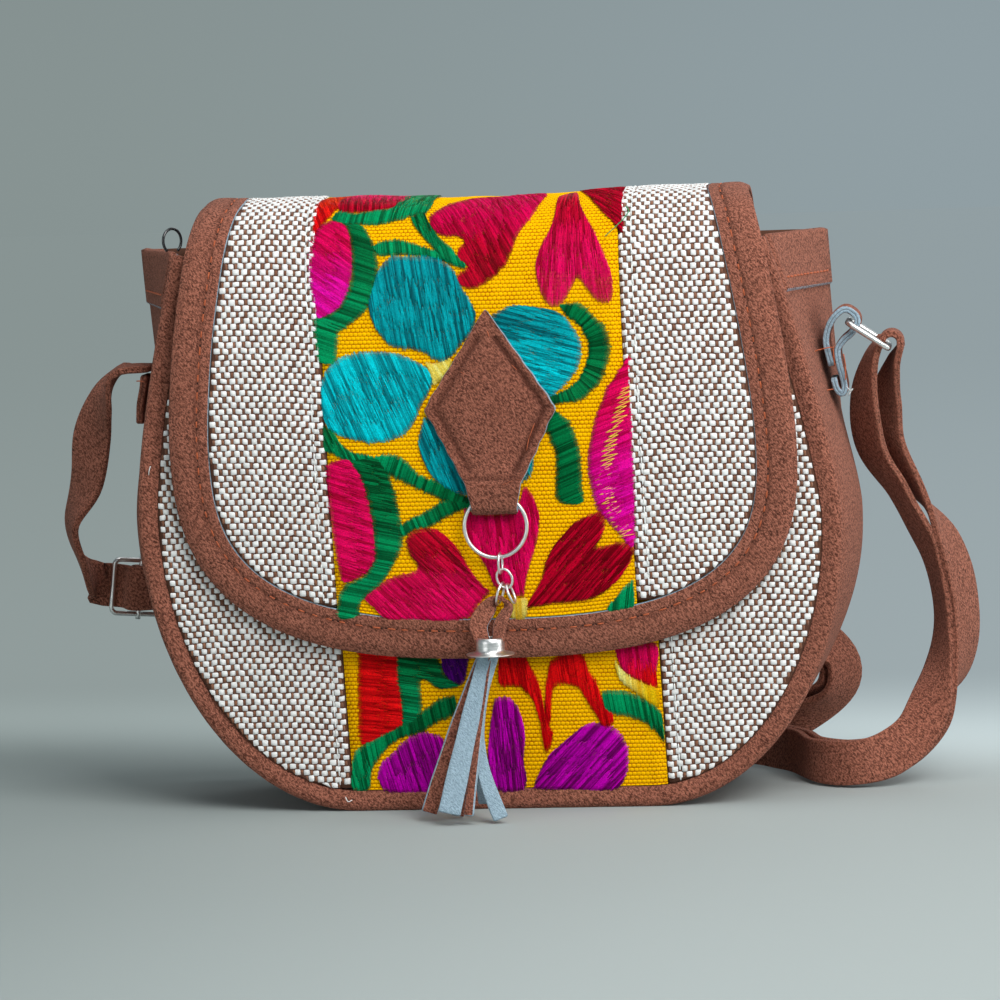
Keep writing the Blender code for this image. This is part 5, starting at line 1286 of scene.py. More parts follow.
EDGE_SHARES = np.array([
    0.0, 0.03, 0.08, 0.15, 0.24, 0.34, 0.44, 0.53, 0.60, 0.65,
    0.68, 0.71, 0.74, 0.77, 0.82, 0.88, 0.94, 0.98, 1.0,
])
EDGE_SEAM_SHARE = 0.71
EDGE_RIPPLE = 0.00016
EDGE_STITCHES = {"pitch": 0.0052, "length": 0.0030, "offset": 0.002, "wander": 0.00035}
EDGE_THREAD = {
    "half_width": 0.00030, "half_height": 0.00024, "stations": 5,
    "lift": 0.00022, "bow": 0.00010, "sink": 0.00035,
}
HOLE_HALF = 0.00042
HOLE_FORM = {"half_width": HOLE_HALF, "half_height": 0.00006, "stations": 3, "lift": 0.00012}


def dip_at(share, place, half):
    """A bell curve of height one at a place, about twice half wide."""
    return np.exp(-(((share - place) / half) ** 2))


outline, out = flap_outline()
swell = round_rise(EDGE_SHARES, 0.0, 0.30) * 0.46 + 0.60 - 0.10 * smooth_step((EDGE_SHARES - 0.4) / 0.5)
swell -= 0.17 * dip_at(EDGE_SHARES, EDGE_SEAM_SHARE, 0.035) + 0.10 * smooth_step((EDGE_SHARES - 0.93) / 0.07)
line = outline[:, None] - out[:, None] * (FLAP_BINDING_WIDTH * EDGE_SHARES)[None, :, None]
run = np.clip(line[..., 1], 0.0, FLAP_LENGTH)
run[0] = run[-1] = 0.0
ripple = np.sin(np.arange(len(outline)) * 1.3)[:, None] * np.sin(math.pi * EDGE_SHARES)[None]
outer = flap_point(line[..., 0], run, FLAP_BINDING_THICK * swell[None] + EDGE_RIPPLE * ripple)
points, faces, kind = wall_mesh(outer, flap_point(line[..., 0], run, 0 * run), SEWN_RIM)
raw = np.where(kind == LAST_COLUMN, 1.0, 0.0)
raw[kind == OUTER] = np.tile(np.where(EDGE_SHARES > 0.99, 1.0, 0.0), len(outline))
# Painted shade: the binding is darkened along the groove that its stitching draws in.
groove_shade = np.zeros(len(points))
groove_shade[kind == OUTER] = np.tile(0.5 * dip_at(EDGE_SHARES, 0.67, 0.05), len(outline))
new_piece("flap_binding_suede", points, faces, suede_finish, "suede", ["flap_binding"], cut=raw, worn=groove_shade)


def binding_face(x, run, lift):
    """A point over the groove of the flap's binding."""
    return flap_point(x, run, FLAP_BINDING_THICK * 0.80 + lift)


seam = outline - out * FLAP_BINDING_WIDTH * EDGE_SEAM_SHARE
starts, ends = seam_stitches(seam[seam[:, 1] > 0.001], **EDGE_STITCHES)
sew("flap_binding_stitches", starts, ends, binding_face, EDGE_THREAD, orange_finish)
# Painted shade: a flat dark disc lies over each needle hole, standing for the shade in it.
places, way = np.vstack([starts, ends]), np.tile(unit(ends - starts), (2, 1)) * HOLE_HALF
sew("flap_binding_hole_shades", places - way, places + way, binding_face, HOLE_FORM, hole_shade_finish)


# Topstitching: white thread along the folded edges of the linen, in the groove beside the embroidered
# bands. It runs as far down the front and the flap as it can be seen.

TOPSTITCH_PITCH = 0.0034
TOPSTITCH_LENGTH = 0.0027
TOPSTITCH_WANDER = 0.00015
TOPSTITCH_THREAD = {
    "half_width": 0.00028, "half_height": 0.00022, "stations": 5,
    "lift": 0.00010, "bow": 0.00008, "sink": 0.0002,
}
THREAD_SHADE = (0.80, 0.80, 0.77, 1.0)
THREAD_WHITE = (0.95, 0.95, 0.93, 1.0)

thread_finish = mottled("white thread", THREAD_SHADE, THREAD_WHITE, 0.0004, Roughness=0.6)
for label, face, centre_x, fold_x, low, high in (
    ("front", front_face, FRONT_BAND_OFFSET, FRONT_BAND_HALF, 0.009, 0.110),
    ("flap", flap_face, FLAP_BAND_OFFSET, FLAP_BAND_HALF, 0.002, 0.226),
):
    starts = []
    for side in (-1, 1):
        v = np.arange(low, high - 0.003, TOPSTITCH_PITCH)
        v = v + chance.normal(0.0, TOPSTITCH_WANDER, len(v))
        starts.append(np.column_stack([np.full(len(v), centre_x + side * (fold_x + TOPSTITCH_INSET)), v]))
    starts = np.vstack(starts)
    ends = starts + [0.0, TOPSTITCH_LENGTH]
    sew(f"{label}_topstitching", starts, ends, face, TOPSTITCH_THREAD, thread_finish, "linen")


# Kite: a diamond of suede sewn to the flap with orange thread close to its cut edges, padded a little
# between. Its lower corner is a tab of two plies, folded back under itself to hold the round ring.

SUEDE_TRIM = 0.0017
KITE_OFFSET = 0.0045
KITE_HALF = 0.0222
KITE_HEIGHT = 0.0669
KITE_TAB_END = 0.1035
KITE_TUNNEL = 0.0022
KITE_FOLD = 0.972
KITE_SEAM = 0.0029
KITE_PADDING = 0.00055
KITE_CREASE = 0.838
KITE_LAYERS = 2.2
KITE_EDGE_CURL = 0.0003
KITE_SEAM_DEPTH = 0.00085
KITE_CREASE_DEPTH = 0.00045
KITE_PUCKER = 0.00010
KITE_THREAD = {"half_width": 0.00016, "half_height": 0.00016, "stations": 6, "lift": 0.00012, "bow": 0.00012}
# Kite and its tab: drop and half width as shares of the kite's own, layers of suede below the centre
KITE_SECTIONS = np.array([
    (0.000, 0.020, 0.00), (0.165, 0.350, 0.00), (0.330, 0.690, 0.00), (0.485, 1.000, 0.00),
    (0.600, 0.820, 0.00), (0.720, 0.640, 0.25), (0.800, 0.515, 1.20), (0.860, 0.420, 2.05),
    (0.900, 0.385, 2.20), (0.972, 0.345, 2.20),
])
KITE_TAIL = np.array([(0.972, 0.330), (0.910, 0.335), (0.850, 0.345)])


def run_at_height(height):
    """How far down the front of the flap a height lies."""
    front = np.argmax(PROFILE[:, 1])
    return np.interp(-np.asarray(height), -PROFILE[front:, 1], PROFILE_RUN[front:])


def kite_run(drop):
    """Run down the flap of a place on the kite, given as a share of its height from its top."""
    return run_at_height(KITE_TAB_END + KITE_HEIGHT * (1 - np.asarray(drop)))


def kite_part(table, drop, column):
    """A column of one of the kite's tables at a drop down it."""
    order = np.argsort(table[:, 0])
    return np.interp(drop, table[order, 0], table[order, column])


kite_base = FLAP_CLOTH + GAP + SUEDE_TRIM / 2
kite_tunnel = SUEDE_TRIM + KITE_TUNNEL
drop = np.linspace(0.0, KITE_FOLD, 90)
kite_level = kite_base + kite_part(KITE_SECTIONS, drop, 2) / KITE_LAYERS * kite_tunnel
body_rows = np.column_stack([kite_run(drop), kite_level, kite_part(KITE_SECTIONS, drop, 1) * KITE_HALF])
turn = np.linspace(0.0, math.pi, 13)[1:-1]
fold_rows = np.column_stack([
    kite_run(KITE_FOLD) + np.sin(turn) * kite_tunnel / 2,
    kite_base + kite_tunnel / 2 + np.cos(turn) * kite_tunnel / 2,
    np.full(len(turn), 0.335 * KITE_HALF),
])
drop_back = np.linspace(KITE_FOLD, KITE_TAIL[-1, 0], 16)
tail_rows = np.column_stack([
    kite_run(drop_back), np.full(len(drop_back), kite_base), kite_part(KITE_TAIL, drop_back, 1) * KITE_HALF,
])
kite_rows = np.vstack([body_rows, fold_rows, tail_rows])

share = np.sin(np.linspace(-1.0, 1.0, 41) * math.pi / 2)[None]
centre = flap_point(KITE_OFFSET + 0 * kite_rows[:, 0], kite_rows[:, 0], kite_rows[:, 1])
along = unit(np.gradient(centre, axis=0))
up = unit(np.cross(along, [1.0, 0.0, 0.0]))
up *= np.where(up[:1, 1:2] > 0, -1.0, 1.0)
width = kite_rows[:, 2:] * (1 + 0.012 * np.sin(np.arange(len(kite_rows)) * 0.7)[:, None])
away = (width * (1 - np.abs(share))) * 0.80
seam_depth = dip_at(away, KITE_SEAM, 0.00095) * (width > 0.0060)
crease = dip_at(drop, KITE_CREASE, 0.010)[:, None] * np.ones_like(share)
body = np.zeros((len(kite_rows), 1))
body[: len(body_rows)] = 1 - smooth_step((drop[:, None] - 0.78) / 0.06)
padded = smooth_step((away - KITE_SEAM) / 0.006)
relief = body * (KITE_PADDING * padded - KITE_SEAM_DEPTH * seam_depth)
relief[: len(drop)] -= KITE_CREASE_DEPTH * crease
relief = relief + KITE_PUCKER * puckers(share * width * 1.5, kite_rows[:, :1] * 1.3)
thick = SUEDE_TRIM / 2
edge_curl = KITE_EDGE_CURL * np.sin(kite_rows[:, :1] * 260.0) * np.abs(share) ** 6 * body
flat = centre[:, None] + np.array([1.0, 0.0, 0.0]) * (share * width)[..., None]
outer = flat + up[:, None] * (thick + relief + edge_curl)[..., None]
points, faces, kind = wall_mesh(outer, flat - up[:, None] * (thick - edge_curl)[..., None], 0.22)
# Painted shade: the whole kite darkens a little, and more in its seam groove, most on its right side, and in
# its crease.
seam_shade = 0.24 + seam_depth * body * np.where(share > 0, 0.95, 0.65)
seam_shade[: len(drop)] += 0.6 * crease
kite_worn = np.zeros(len(points))
kite_worn[kind == OUTER] = np.clip(seam_shade, 0.0, 1.0).ravel()
pale_edge = (share > 0.99) & (kite_rows[:, :1] < kite_run(0.50))
kite_cut = (kind >= FIRST_ROW).astype(float)
kite_cut[kind == OUTER] = np.where(pale_edge, 0.85, 0.0).ravel()
kite_flesh = (kind == INNER).astype(float)
kite = new_piece(
    "kite_suede", points, faces, suede_finish, "suede", ["kite_patch"],
    cut=kite_cut, worn=kite_worn, flesh=kite_flesh,
)


def kite_face(x, drop, lift):
    """A point over the kite, its x out from the kite's middle line and its drop down it."""
    level = kite_base + kite_part(KITE_SECTIONS, drop, 2) / KITE_LAYERS * kite_tunnel
    return flap_point(KITE_OFFSET + x, kite_run(drop), level + thick + lift)


# Bits of orange thread that show in the kite's seam: x and drop of each end
kite_thread = np.array([
    (0.0098, 0.520, 0.0128, 0.535), (0.0150, 0.565, 0.0128, 0.640), (0.0128, 0.640, 0.0118, 0.700),
    (0.0082, 0.272, 0.0100, 0.300), (-0.0092, 0.300, -0.0080, 0.312), (0.0004, 0.100, 0.0010, 0.130),
    (0.0030, 0.868, 0.0068, 0.846), (0.0068, 0.846, 0.0098, 0.838), (-0.0050, 0.868, -0.0020, 0.872),
])
sew("kite_stitches", kite_thread[:, :2], kite_thread[:, 2:], kite_face, KITE_THREAD, orange_finish)


# Ring and chain: a round ring of polished nickel wire, and four small oval links jumbled under it.

RING_RADIUS = 0.0106
RING_WIRE = 0.0014
LINK_HALF_LENGTH = 0.0034
LINK_HALF_WIDTH = 0.0026
JUMP_HALF_LENGTH = 0.0038
JUMP_HALF_WIDTH = 0.0030
LINK_WIRE = 0.0009
LINK_SEAT = LINK_WIRE + 0.0004
# Long and wide way of the ring, then of each link
RING_WAYS = np.array([(0.0, 0.02, 1.0), (1.0, 0.0, 0.0)])
LINK_WAYS = np.array([
    [(0.00, 0.05, 1.0), (0.15, 1.00, 0.0)],
    [(-0.40, 0.00, 1.0), (1.00, -0.15, 0.0)],
    [(-0.38, 0.10, 1.0), (0.20, 1.00, 0.0)],
    [(0.30, 0.15, 1.0), (0.25, 1.00, 0.0)],
])
NICKEL = (0.90, 0.895, 0.88, 1.0)
NICKEL_DULL = (0.64, 0.64, 0.63, 1.0)

nickel_finish, nickel_shader, nickel = new_finish("nickel", Metallic=1.0)
smear = nickel.noise(0.0030, 3.0)
feed(
    nickel_shader,
    Base_Color=(smear.between(0.35, 0.75) * 0.50).mixed(NICKEL, NICKEL_DULL),
    Roughness=smear * 0.10 + 0.28,
)


def ring_quads(leading, following):
    """Four-sided faces between rings of points, given as two arrays of their numbers."""
    beside = np.roll(leading, -1, axis=1), np.roll(following, -1, axis=1)
    return np.stack([leading, *beside, following], axis=-1).reshape(-1, 4).tolist()


def wire_mesh(path, wire, sides=12, closed=True):
    """A round wire along a path of points, closed into a loop or capped at both ends. Points and faces."""
    if closed:
        along = unit(np.roll(path, -1, axis=0) - np.roll(path, 1, axis=0))
    else:
        along = unit(np.gradient(path, axis=0))
    flat = unit(np.cross(path[0] - path.mean(axis=0), along[0]))
    outward = unit(np.cross(along, flat))
    above = np.cross(outward, along)
    turn = np.arange(sides) * 2 * math.pi / sides
    ring = np.cos(turn)[None, :, None] * outward[:, None] + np.sin(turn)[None, :, None] * above[:, None]
    points = (path[:, None] + ring * wire / 2).reshape(-1, 3)
    index = np.arange(len(path) * sides).reshape(-1, sides)
    following = np.roll(index, -1, axis=0) if closed else index[1:]
    leading = index if closed else index[:-1]
    caps = [] if closed else [index[0].tolist(), index[-1, ::-1].tolist()]
    return points, ring_quads(leading, following) + caps


def level_ways(ways):
    """A link's long way at length one, and its wide way at length one and square to it."""
    long_way = unit(np.array(ways[0], dtype=float))
    wide_way = np.array(ways[1], dtype=float)
    return long_way, unit(wide_way - long_way * np.dot(wide_way, long_way))


def oval_path(centre, half_length, half_width, ways, count=40):
    """Points round an oval, from the end of its long way."""
    turn = np.arange(count) * 2 * math.pi / count
    long_way, wide_way = level_ways(ways)
    long_part = np.cos(turn)[:, None] * half_length * long_way
    return np.array(centre) + long_part + np.sin(turn)[:, None] * half_width * wide_way


def hang_place(centre, ways, turn):
    """Where the top of a link sits inside another link, turn radians round from that link's low end."""
    long_way, wide_way = level_ways(ways)
    rim = -math.cos(turn) * LINK_HALF_LENGTH * long_way - math.sin(turn) * LINK_HALF_WIDTH * wide_way
    out = -math.cos(turn) / LINK_HALF_LENGTH * long_way - math.sin(turn) / LINK_HALF_WIDTH * wide_way
    return centre + rim - unit(out) * LINK_SEAT


fold_inside = flap_point(
    np.array(KITE_OFFSET), kite_run(KITE_FOLD) + KITE_TUNNEL / 2, kite_base + kite_tunnel / 2
)
slant = math.sqrt(RING_RADIUS**2 - (0.345 * KITE_HALF) ** 2) / RING_RADIUS
ring_centre = fold_inside - np.array([0.0, 0.0, slant * RING_RADIUS - RING_WIRE / 2 / slant - 2 * GAP])
ring_path = oval_path(ring_centre, RING_RADIUS, RING_RADIUS, RING_WAYS, 96)
points, faces = wire_mesh(ring_path, RING_WIRE, 16)
new_piece("o_ring_nickel", points, faces, nickel_finish, "steel", ["o_ring"])

ring_low = ring_centre + np.array([0.0012, 0.0, -RING_RADIUS])
link_1 = ring_low + np.array([0.0, -0.0002, (RING_WIRE + LINK_WIRE) / 2 + GAP - LINK_HALF_LENGTH])
link_2 = link_1 - [0.0, 0.0, LINK_HALF_LENGTH - LINK_SEAT] - LINK_HALF_LENGTH * unit(LINK_WAYS[1][0])
link_3 = hang_place(link_2, LINK_WAYS[1], -0.10) - LINK_HALF_LENGTH * unit(LINK_WAYS[2][0])
jump = hang_place(link_2, LINK_WAYS[1], 1.05) - JUMP_HALF_LENGTH * unit(LINK_WAYS[3][0])
link_halves = [(LINK_HALF_LENGTH, LINK_HALF_WIDTH)] * 3 + [(JUMP_HALF_LENGTH, JUMP_HALF_WIDTH)]
links = zip((link_1, link_2, link_3, jump), link_halves, LINK_WAYS)
for number, (place, halves, ways) in enumerate(links, 1):
    points, faces = wire_mesh(oval_path(place, *halves, ways), LINK_WIRE, 10)
    new_piece(f"chain_link_{number}_nickel", points, faces, nickel_finish, "steel", [f"chain_link_{number}"])


# Tassel: a suede loop through the last link, and six long strips gathered in a spun nickel cap with a broad
# brim. Most strips hang with the pale flesh side out.

CAP_RADIUS = 0.0048
CAP_HEIGHT = 0.0053
CAP_WALL = 0.0005
CAP_BRIM_RADIUS = 0.0082
TASSEL_LENGTH = 0.0535
TASSEL_STRIP_THICK = 0.0014
LOOP_HEIGHT = 0.0130
# Rounding of a strip's edges as a share of its thickness, gap between its plies, drawing in of its ends
EDGE_ROUND = 0.26
PLY_GAP = 0.00018
END_INSET = 0.18
# Side and depth lean of the tip and side bow as shares of the length, length as a share, width, turn of the
# flat in degrees, and how pale the front and back faces are
TASSEL_STRIPS = [
    (-0.370, -0.120, -0.012, 0.990, 0.0056, 22.0, 0.0, 0.0),
    (-0.235, -0.260, -0.004, 0.965, 0.0078, 6.0, 1.0, 1.0),
    (-0.240, -0.010, 0.006, 1.030, 0.0046, 20.0, 0.0, 0.0),
    (-0.150, -0.230, -0.012, 0.985, 0.0034, -20.0, 0.0, 0.0),
    (-0.100, -0.040, -0.060, 0.950, 0.0040, -30.0, 1.0, 1.0),
    (0.010, -0.190, -0.135, 1.015, 0.0052, 14.0, 1.0, 1.0),
]


def strip_mesh(centre, across, half_width, thick, ply=0.0, folded=0, spans=7):
    """A flat strip with rounded edges along centre points, its width along across, closed at both ends. ply
    opens a line between two plies in the cut edges, and folded names the side, -1 or 1, whose edge is a
    fold and not a cut. Points, faces, and for each point how much cut edge and how much ply line it is, and
    its side, 1 or -1."""
    along = unit(np.gradient(centre, axis=0))
    across = unit(across - along * np.sum(across * along, axis=1, keepdims=True))
    up = np.cross(along, across)
    round_off = thick * EDGE_ROUND
    half = thick / 2
    edge_in = round_off * np.array([0.30, 0.0, 0.0, 0.0, 0.0, 0.0, 0.30])
    edge_up = np.array([half - 0.3 * round_off, half - round_off, 0.14 * half, 0.0, -0.14 * half, 0, 0])
    edge_up[5:] = -edge_up[1::-1]
    middle = np.array([0, 0, 0.3, 1.0, 0.3, 0, 0])
    flat = np.linspace(-1.0, 1.0, spans)
    side = np.concatenate([flat, np.ones(7), -flat, -np.ones(7)])
    inset = np.concatenate([np.full(spans, round_off), edge_in + ply * middle * PLY_GAP] * 2)
    lift = np.concatenate([np.full(spans, half), edge_up, np.full(spans, -half), -edge_up])
    bare = np.array([0.75, 1, 1, 1, 1, 1, 0.75])
    plain = np.zeros(spans)
    right, left = folded != 1, folded != -1
    cut, line = [np.concatenate([plain, edge * right, plain, edge * left]) for edge in (bare, middle)]
    width = np.broadcast_to(half_width, len(centre))[:, None]
    place = (side * (width - inset))[..., None] * across[:, None] + lift[:, None] * up[:, None]
    rows = centre[:, None] + place
    ahead = rows[0] - along[0] * round_off - place[0] * END_INSET
    behind = rows[-1] + along[-1] * round_off - place[-1] * END_INSET
    rows = np.concatenate([ahead[None], rows, behind[None]])
    count, corners = rows.shape[:2]
    index = np.arange(count * corners).reshape(count, corners)
    quads = ring_quads(index[:-1], index[1:]) + [index[0, ::-1].tolist(), index[-1].tolist()]
    cut = np.vstack([np.ones(corners), np.tile(cut, (count - 2, 1)), np.ones(corners)]).ravel()
    above = np.tile(np.sign(lift), count)
    return rows.reshape(-1, 3), quads, cut, np.tile(line * ply, count), above


crook = jump - unit(LINK_WAYS[3][0]) * (JUMP_HALF_LENGTH - LINK_WIRE / 2 - TASSEL_STRIP_THICK / 2 - 0.0013)
head_top = crook[2] - LOOP_HEIGHT
head_x = crook[0] - 0.0030
head_y = float(flap_point(np.array(head_x), run_at_height(head_top), np.array(FLAP_BINDING_THICK))[1])
head_y -= CAP_BRIM_RADIUS + 3 * GAP
back = crook[1] - head_y
to_crook = crook[0] - head_x
# Loop: side and depth from the head's middle line, height as a share of the loop's, half width of the
# strip, and the direction of its width across the bag and in depth
loop_rows = np.array([
    (-0.0022, 0.0, -0.20, 0.0026, 1.00, 0.30), (-0.0031, 0.0, 0.05, 0.0027, 1.00, 0.30),
    (-0.0038, 0.25 * back, 0.36, 0.0032, 1.00, 0.30),
    (to_crook - 0.0038, 0.70 * back, 0.74, 0.0029, 0.95, 0.45),
    (to_crook - 0.0004, back, 1.00, 0.0016, 0.35, 1.00),
    (to_crook + 0.0030, 0.85 * back, 0.76, 0.0020, -0.75, 0.70),
    (0.0036, 0.30 * back, 0.36, 0.0024, -0.90, 0.50), (0.0031, 0.0, 0.05, 0.0023, -0.90, 0.50),
    (0.0022, 0.0, -0.20, 0.0022, -0.90, 0.50),
])
loop_rows = loop_rows * [1, 1, LOOP_HEIGHT, 1, 1, 1] + [head_x, head_y, head_top, 0, 0, 0]
loop_path = curve_through(loop_rows, 0.0008)
loop_way = np.column_stack([loop_path[:, 4:6], 0 * loop_path[:, 4]])
lots = [strip_mesh(loop_path[:, :3], loop_way, loop_path[:, 3], TASSEL_STRIP_THICK, 0.0, -1)]
pale = [np.zeros(len(lots[0][0]))]

head = CAP_RADIUS - CAP_WALL - GAP
low = head_top - CAP_HEIGHT
share = np.linspace(0.0, 1.0, 30)
for number, (lean, depth, bow, length, width, flat_turn, front, behind) in enumerate(TASSEL_STRIPS):
    first_x = head_x + (number / (len(TASSEL_STRIPS) - 1) - 0.5) * head * 1.15
    first_y = head_y - head * 0.32 * (1 if number % 2 else -1)
    x = first_x + TASSEL_LENGTH * (lean * share + bow * np.sin(math.pi * share))
    y = first_y + TASSEL_LENGTH * depth * share**1.3
    z = low + 0.001 - (length * TASSEL_LENGTH + 0.001) * share
    flat_turn = math.radians(flat_turn)
    flat_way = np.array([math.cos(flat_turn), math.sin(flat_turn), 0.0])
    half = width / 2 * (0.42 + 0.58 * share**0.5) * (1 + 0.02 * np.sin(share * 17.0 + number))
    lots.append(strip_mesh(np.column_stack([x, y, z]), flat_way, half, TASSEL_STRIP_THICK))
    pale.append(np.where(lots[-1][4] > 0, front, behind))
points, faces = joined([lot[:2] for lot in lots])
tassel = new_piece(
    "tassel_suede", points, faces, suede_finish, "pale_suede", ["tassel"],
    cut=np.concatenate([lot[2] for lot in lots]), flesh=np.concatenate(pale),
)

# Cap: spun nickel, its outline turned once round
satin_nickel_finish, cap_shader, spun_nickel = new_finish("satin nickel", Metallic=1.0)
turning = spun_nickel.noise(0.0006, 2.0, (0.1, 0.1, 1.0))
feed(
    cap_shader,
    Base_Color=turning.between(0.3, 0.7).mixed(NICKEL, NICKEL_DULL),
    Roughness=turning * 0.12 + 0.30,
)
cap_profile = np.array([
    (head - 0.0008, 0.0), (head + 0.0004, 0.00005), (CAP_RADIUS - 0.0003, -0.0001), (CAP_RADIUS, -0.0004),
    (CAP_RADIUS, -0.0020), (CAP_RADIUS, -0.0038), (CAP_RADIUS + 0.0002, 0.0009 - CAP_HEIGHT),
    (CAP_RADIUS + 0.0008, 0.0004 - CAP_HEIGHT), (CAP_BRIM_RADIUS - 0.0010, 0.00015 - CAP_HEIGHT),
    (CAP_BRIM_RADIUS - 0.0002, -CAP_HEIGHT), (CAP_BRIM_RADIUS, -CAP_HEIGHT - 0.0002),
    (CAP_BRIM_RADIUS - 0.0002, -CAP_HEIGHT - 0.00045), (CAP_BRIM_RADIUS - 0.0010, -CAP_HEIGHT - CAP_WALL),
    (CAP_RADIUS, -CAP_HEIGHT - CAP_WALL), (head + 0.0002, -CAP_HEIGHT - CAP_WALL), (head + 0.0002, -0.0006),
    (head - 0.0008, -0.0006),
])
turn = np.arange(64) * 2 * math.pi / 64
spun = np.stack([np.outer(wave(turn), cap_profile[:, 0]) for wave in (np.cos, np.sin)], axis=-1)
spun = np.concatenate([spun, np.broadcast_to(cap_profile[:, 1], spun.shape[:2])[..., None]], axis=-1)
index = np.arange(spun.shape[0] * spun.shape[1]).reshape(spun.shape[:2])
quads = ring_quads(index, np.roll(index, -1, axis=0))
points = spun.reshape(-1, 3) + [head_x, head_y, head_top]
new_piece("tassel_cap_nickel", points, quads, satin_nickel_finish, "steel", ["tassel_cap"])


# Tabs: strips of two plies of suede sewn to the gusset in orange, their cut edges to the front. The right
# one loops round the rectangular ring, and the left one is a keeper for the end of the strap.

TAB_WIDTH = 0.0150
TAB_THICK = 0.0024
TAB_WAVE = 0.0003
TAB_THREAD_WIRE = 0.00042
# Way out from the gusset and height, as shares of the bag's half width and height
RIGHT_TAB_PATH = np.array([
    (0.013, 0.765), (0.011, 0.785), (0.012, 0.812), (0.036, 0.843), (0.075, 0.862), (0.104, 0.853),
    (0.108, 0.838), (0.088, 0.821), (0.058, 0.806), (0.039, 0.790), (0.036, 0.765), (0.037, 0.742),
    (0.034, 0.722), (0.022, 0.712), (0.011, 0.722), (0.011, 0.738),
])
LEFT_TAB_PATH = np.array([(0.0105, 0.775), (0.0115, 0.755), (0.0170, 0.725), (0.0125, 0.694)])


def loose_threads(name, paths, wire, finish, slot):
    """Thin round threads along these paths, open at both ends, as one piece."""
    points, faces = joined([wire_mesh(path, wire, 6, False) for path in paths])
    new_piece(name, points, faces, finish, slot)


def gusset_outer(side, z):
    """Outer face of the gusset at one side, where the back edge of a strip sewn to its middle lies."""
    share = 0.5 + 0.25 * TAB_WIDTH / edge_depth(z)
    return leaned(side * (gusset_half(share, z) + gusset_bow(z) + gusset_hem(z)), z, MOUTH_LEAN)


def tab_path(table, side, step):
    """A tab's path, measured out from the gusset at one side."""
    z = table[:, 1] * BODY_HEIGHT
    x = gusset_outer(side, z) + side * (table[:, 0] * BODY_HALF + GAP)
    return curve_through(np.column_stack([x, 0 * z, z]), step)


for name, table, side, flat, bare in (
    ("right_tab", RIGHT_TAB_PATH, 1, (0.015, 0.0735), 1.0),
    ("left_tab", LEFT_TAB_PATH, -1, (0.015, 0.0165), 0.3),
):
    path = tab_path(table, side, 0.0008)
    wavy = TAB_WIDTH / 2 + TAB_WAVE * np.sin(np.arange(len(path)) * 0.35)
    points, faces, cut, line, _ = strip_mesh(path, np.array([0.0, 1.0, 0.0]), wavy, TAB_THICK, 1.0)
    made = new_piece(f"{name}_suede", points, faces, suede_finish, "suede", [name], cut=cut * bare, ply=line)

# Orange thread of the tabs: x, y and z of each end in millimetres
TAB_THREAD = np.array([
    (111.6, -9.3, 152.1, 114.3, -9.0, 153.0), (114.3, -9.0, 153.0, 118.6, -8.6, 153.6),
    (118.3, -8.4, 153.2, 118.7, -8.2, 147.1), (121.8, -8.2, 151.2, 122.4, -8.2, 146.9),
    (122.4, -8.2, 146.9, 122.2, -8.2, 142.2), (113.9, -9.0, 138.3, 118.0, -8.6, 139.2),
    (-124.4, -9.0, 148.5, -121.4, -9.6, 148.1),
]) * 0.001

share = np.linspace(0.0, 1.0, 7)[:, None]
bow = np.outer(np.sin(share[:, 0] * math.pi), [0.0, -0.0002, 0.0002])
loose_threads(
    "tab_stitches", [row[:3] * (1 - share) + row[3:] * share + bow for row in TAB_THREAD], TAB_THREAD_WIRE,
    orange_finish, "suede",
)


# Right ring: a rectangular ring of thick nickel wire, held in the tab and holding the strap.
# It lies in the plane of its way out from the tab and the depth of the bag.

FRAME_WIRE = 0.0021
FRAME_LENGTH = 0.0183
SLIDE_WIRE = 0.0018
SLIDE_LENGTH = 0.0200
FRAME_CLEARANCE = 0.0012
CORNER_SHARE = 1.2
FRAME_SEAT_RISE = 0.8385
FRAME_SEAT_OUT = 0.084
FRAME_WAY = (0.83, 0.0, -0.555)
STRAP_WIDTH = 0.0155
STRAP_THICK = 0.0024


def frame_path(centre, half_long, half_wide, long_way, wide_way, corner):
    """Points round a rectangle with rounded corners, nine on each corner."""
    path = []
    for quarter in range(4):
        along = 1 if quarter in (0, 3) else -1
        over = 1 if quarter in (0, 1) else -1
        turn = np.radians(90 * quarter + np.linspace(0.0, 90.0, 9))[:, None]
        along_part = along * (half_long - corner) + corner * np.cos(turn)
        over_part = over * (half_wide - corner) + corner * np.sin(turn)
        path.append(centre + along_part * long_way + over_part * wide_way)
    return np.vstack(path)


seat_z = FRAME_SEAT_RISE * BODY_HEIGHT
inner_bar = np.array([float(gusset_outer(1, seat_z)) + FRAME_SEAT_OUT * BODY_HALF, 0.0, seat_z])
outer_bar = inner_bar + unit(np.array(FRAME_WAY)) * (FRAME_LENGTH - FRAME_WIRE)
reach = outer_bar - inner_bar
frame_half = STRAP_WIDTH / 2 + FRAME_CLEARANCE + FRAME_WIRE / 2
path = frame_path(
    (inner_bar + outer_bar) / 2, np.linalg.norm(reach) / 2, frame_half,
    unit(reach), np.array([0.0, 1.0, 0.0]), FRAME_WIRE * CORNER_SHARE,
)
points, faces = wire_mesh(path, FRAME_WIRE, 16)
new_piece("right_ring_nickel", points, faces, nickel_finish, "steel", ["right_ring"])


# Strap: one long strip of suede folded lengthways to two plies, with the fold along one edge and the cuts
# along the other. It is doubled from the slide round to the ring, where its two layers part and splay as
# they turn, and single from the slide to the left side.

STRAP_STEP = 0.0022
BAR_SEAT = STRAP_THICK / 2 + SLIDE_WIRE / 2 + 0.0005
SLIDE_RUN = 0.0120
CREST_OUT = 0.0010
CREST_RISE = 0.0016
CREST_REACH = 0.38
SPLAY = 0.45
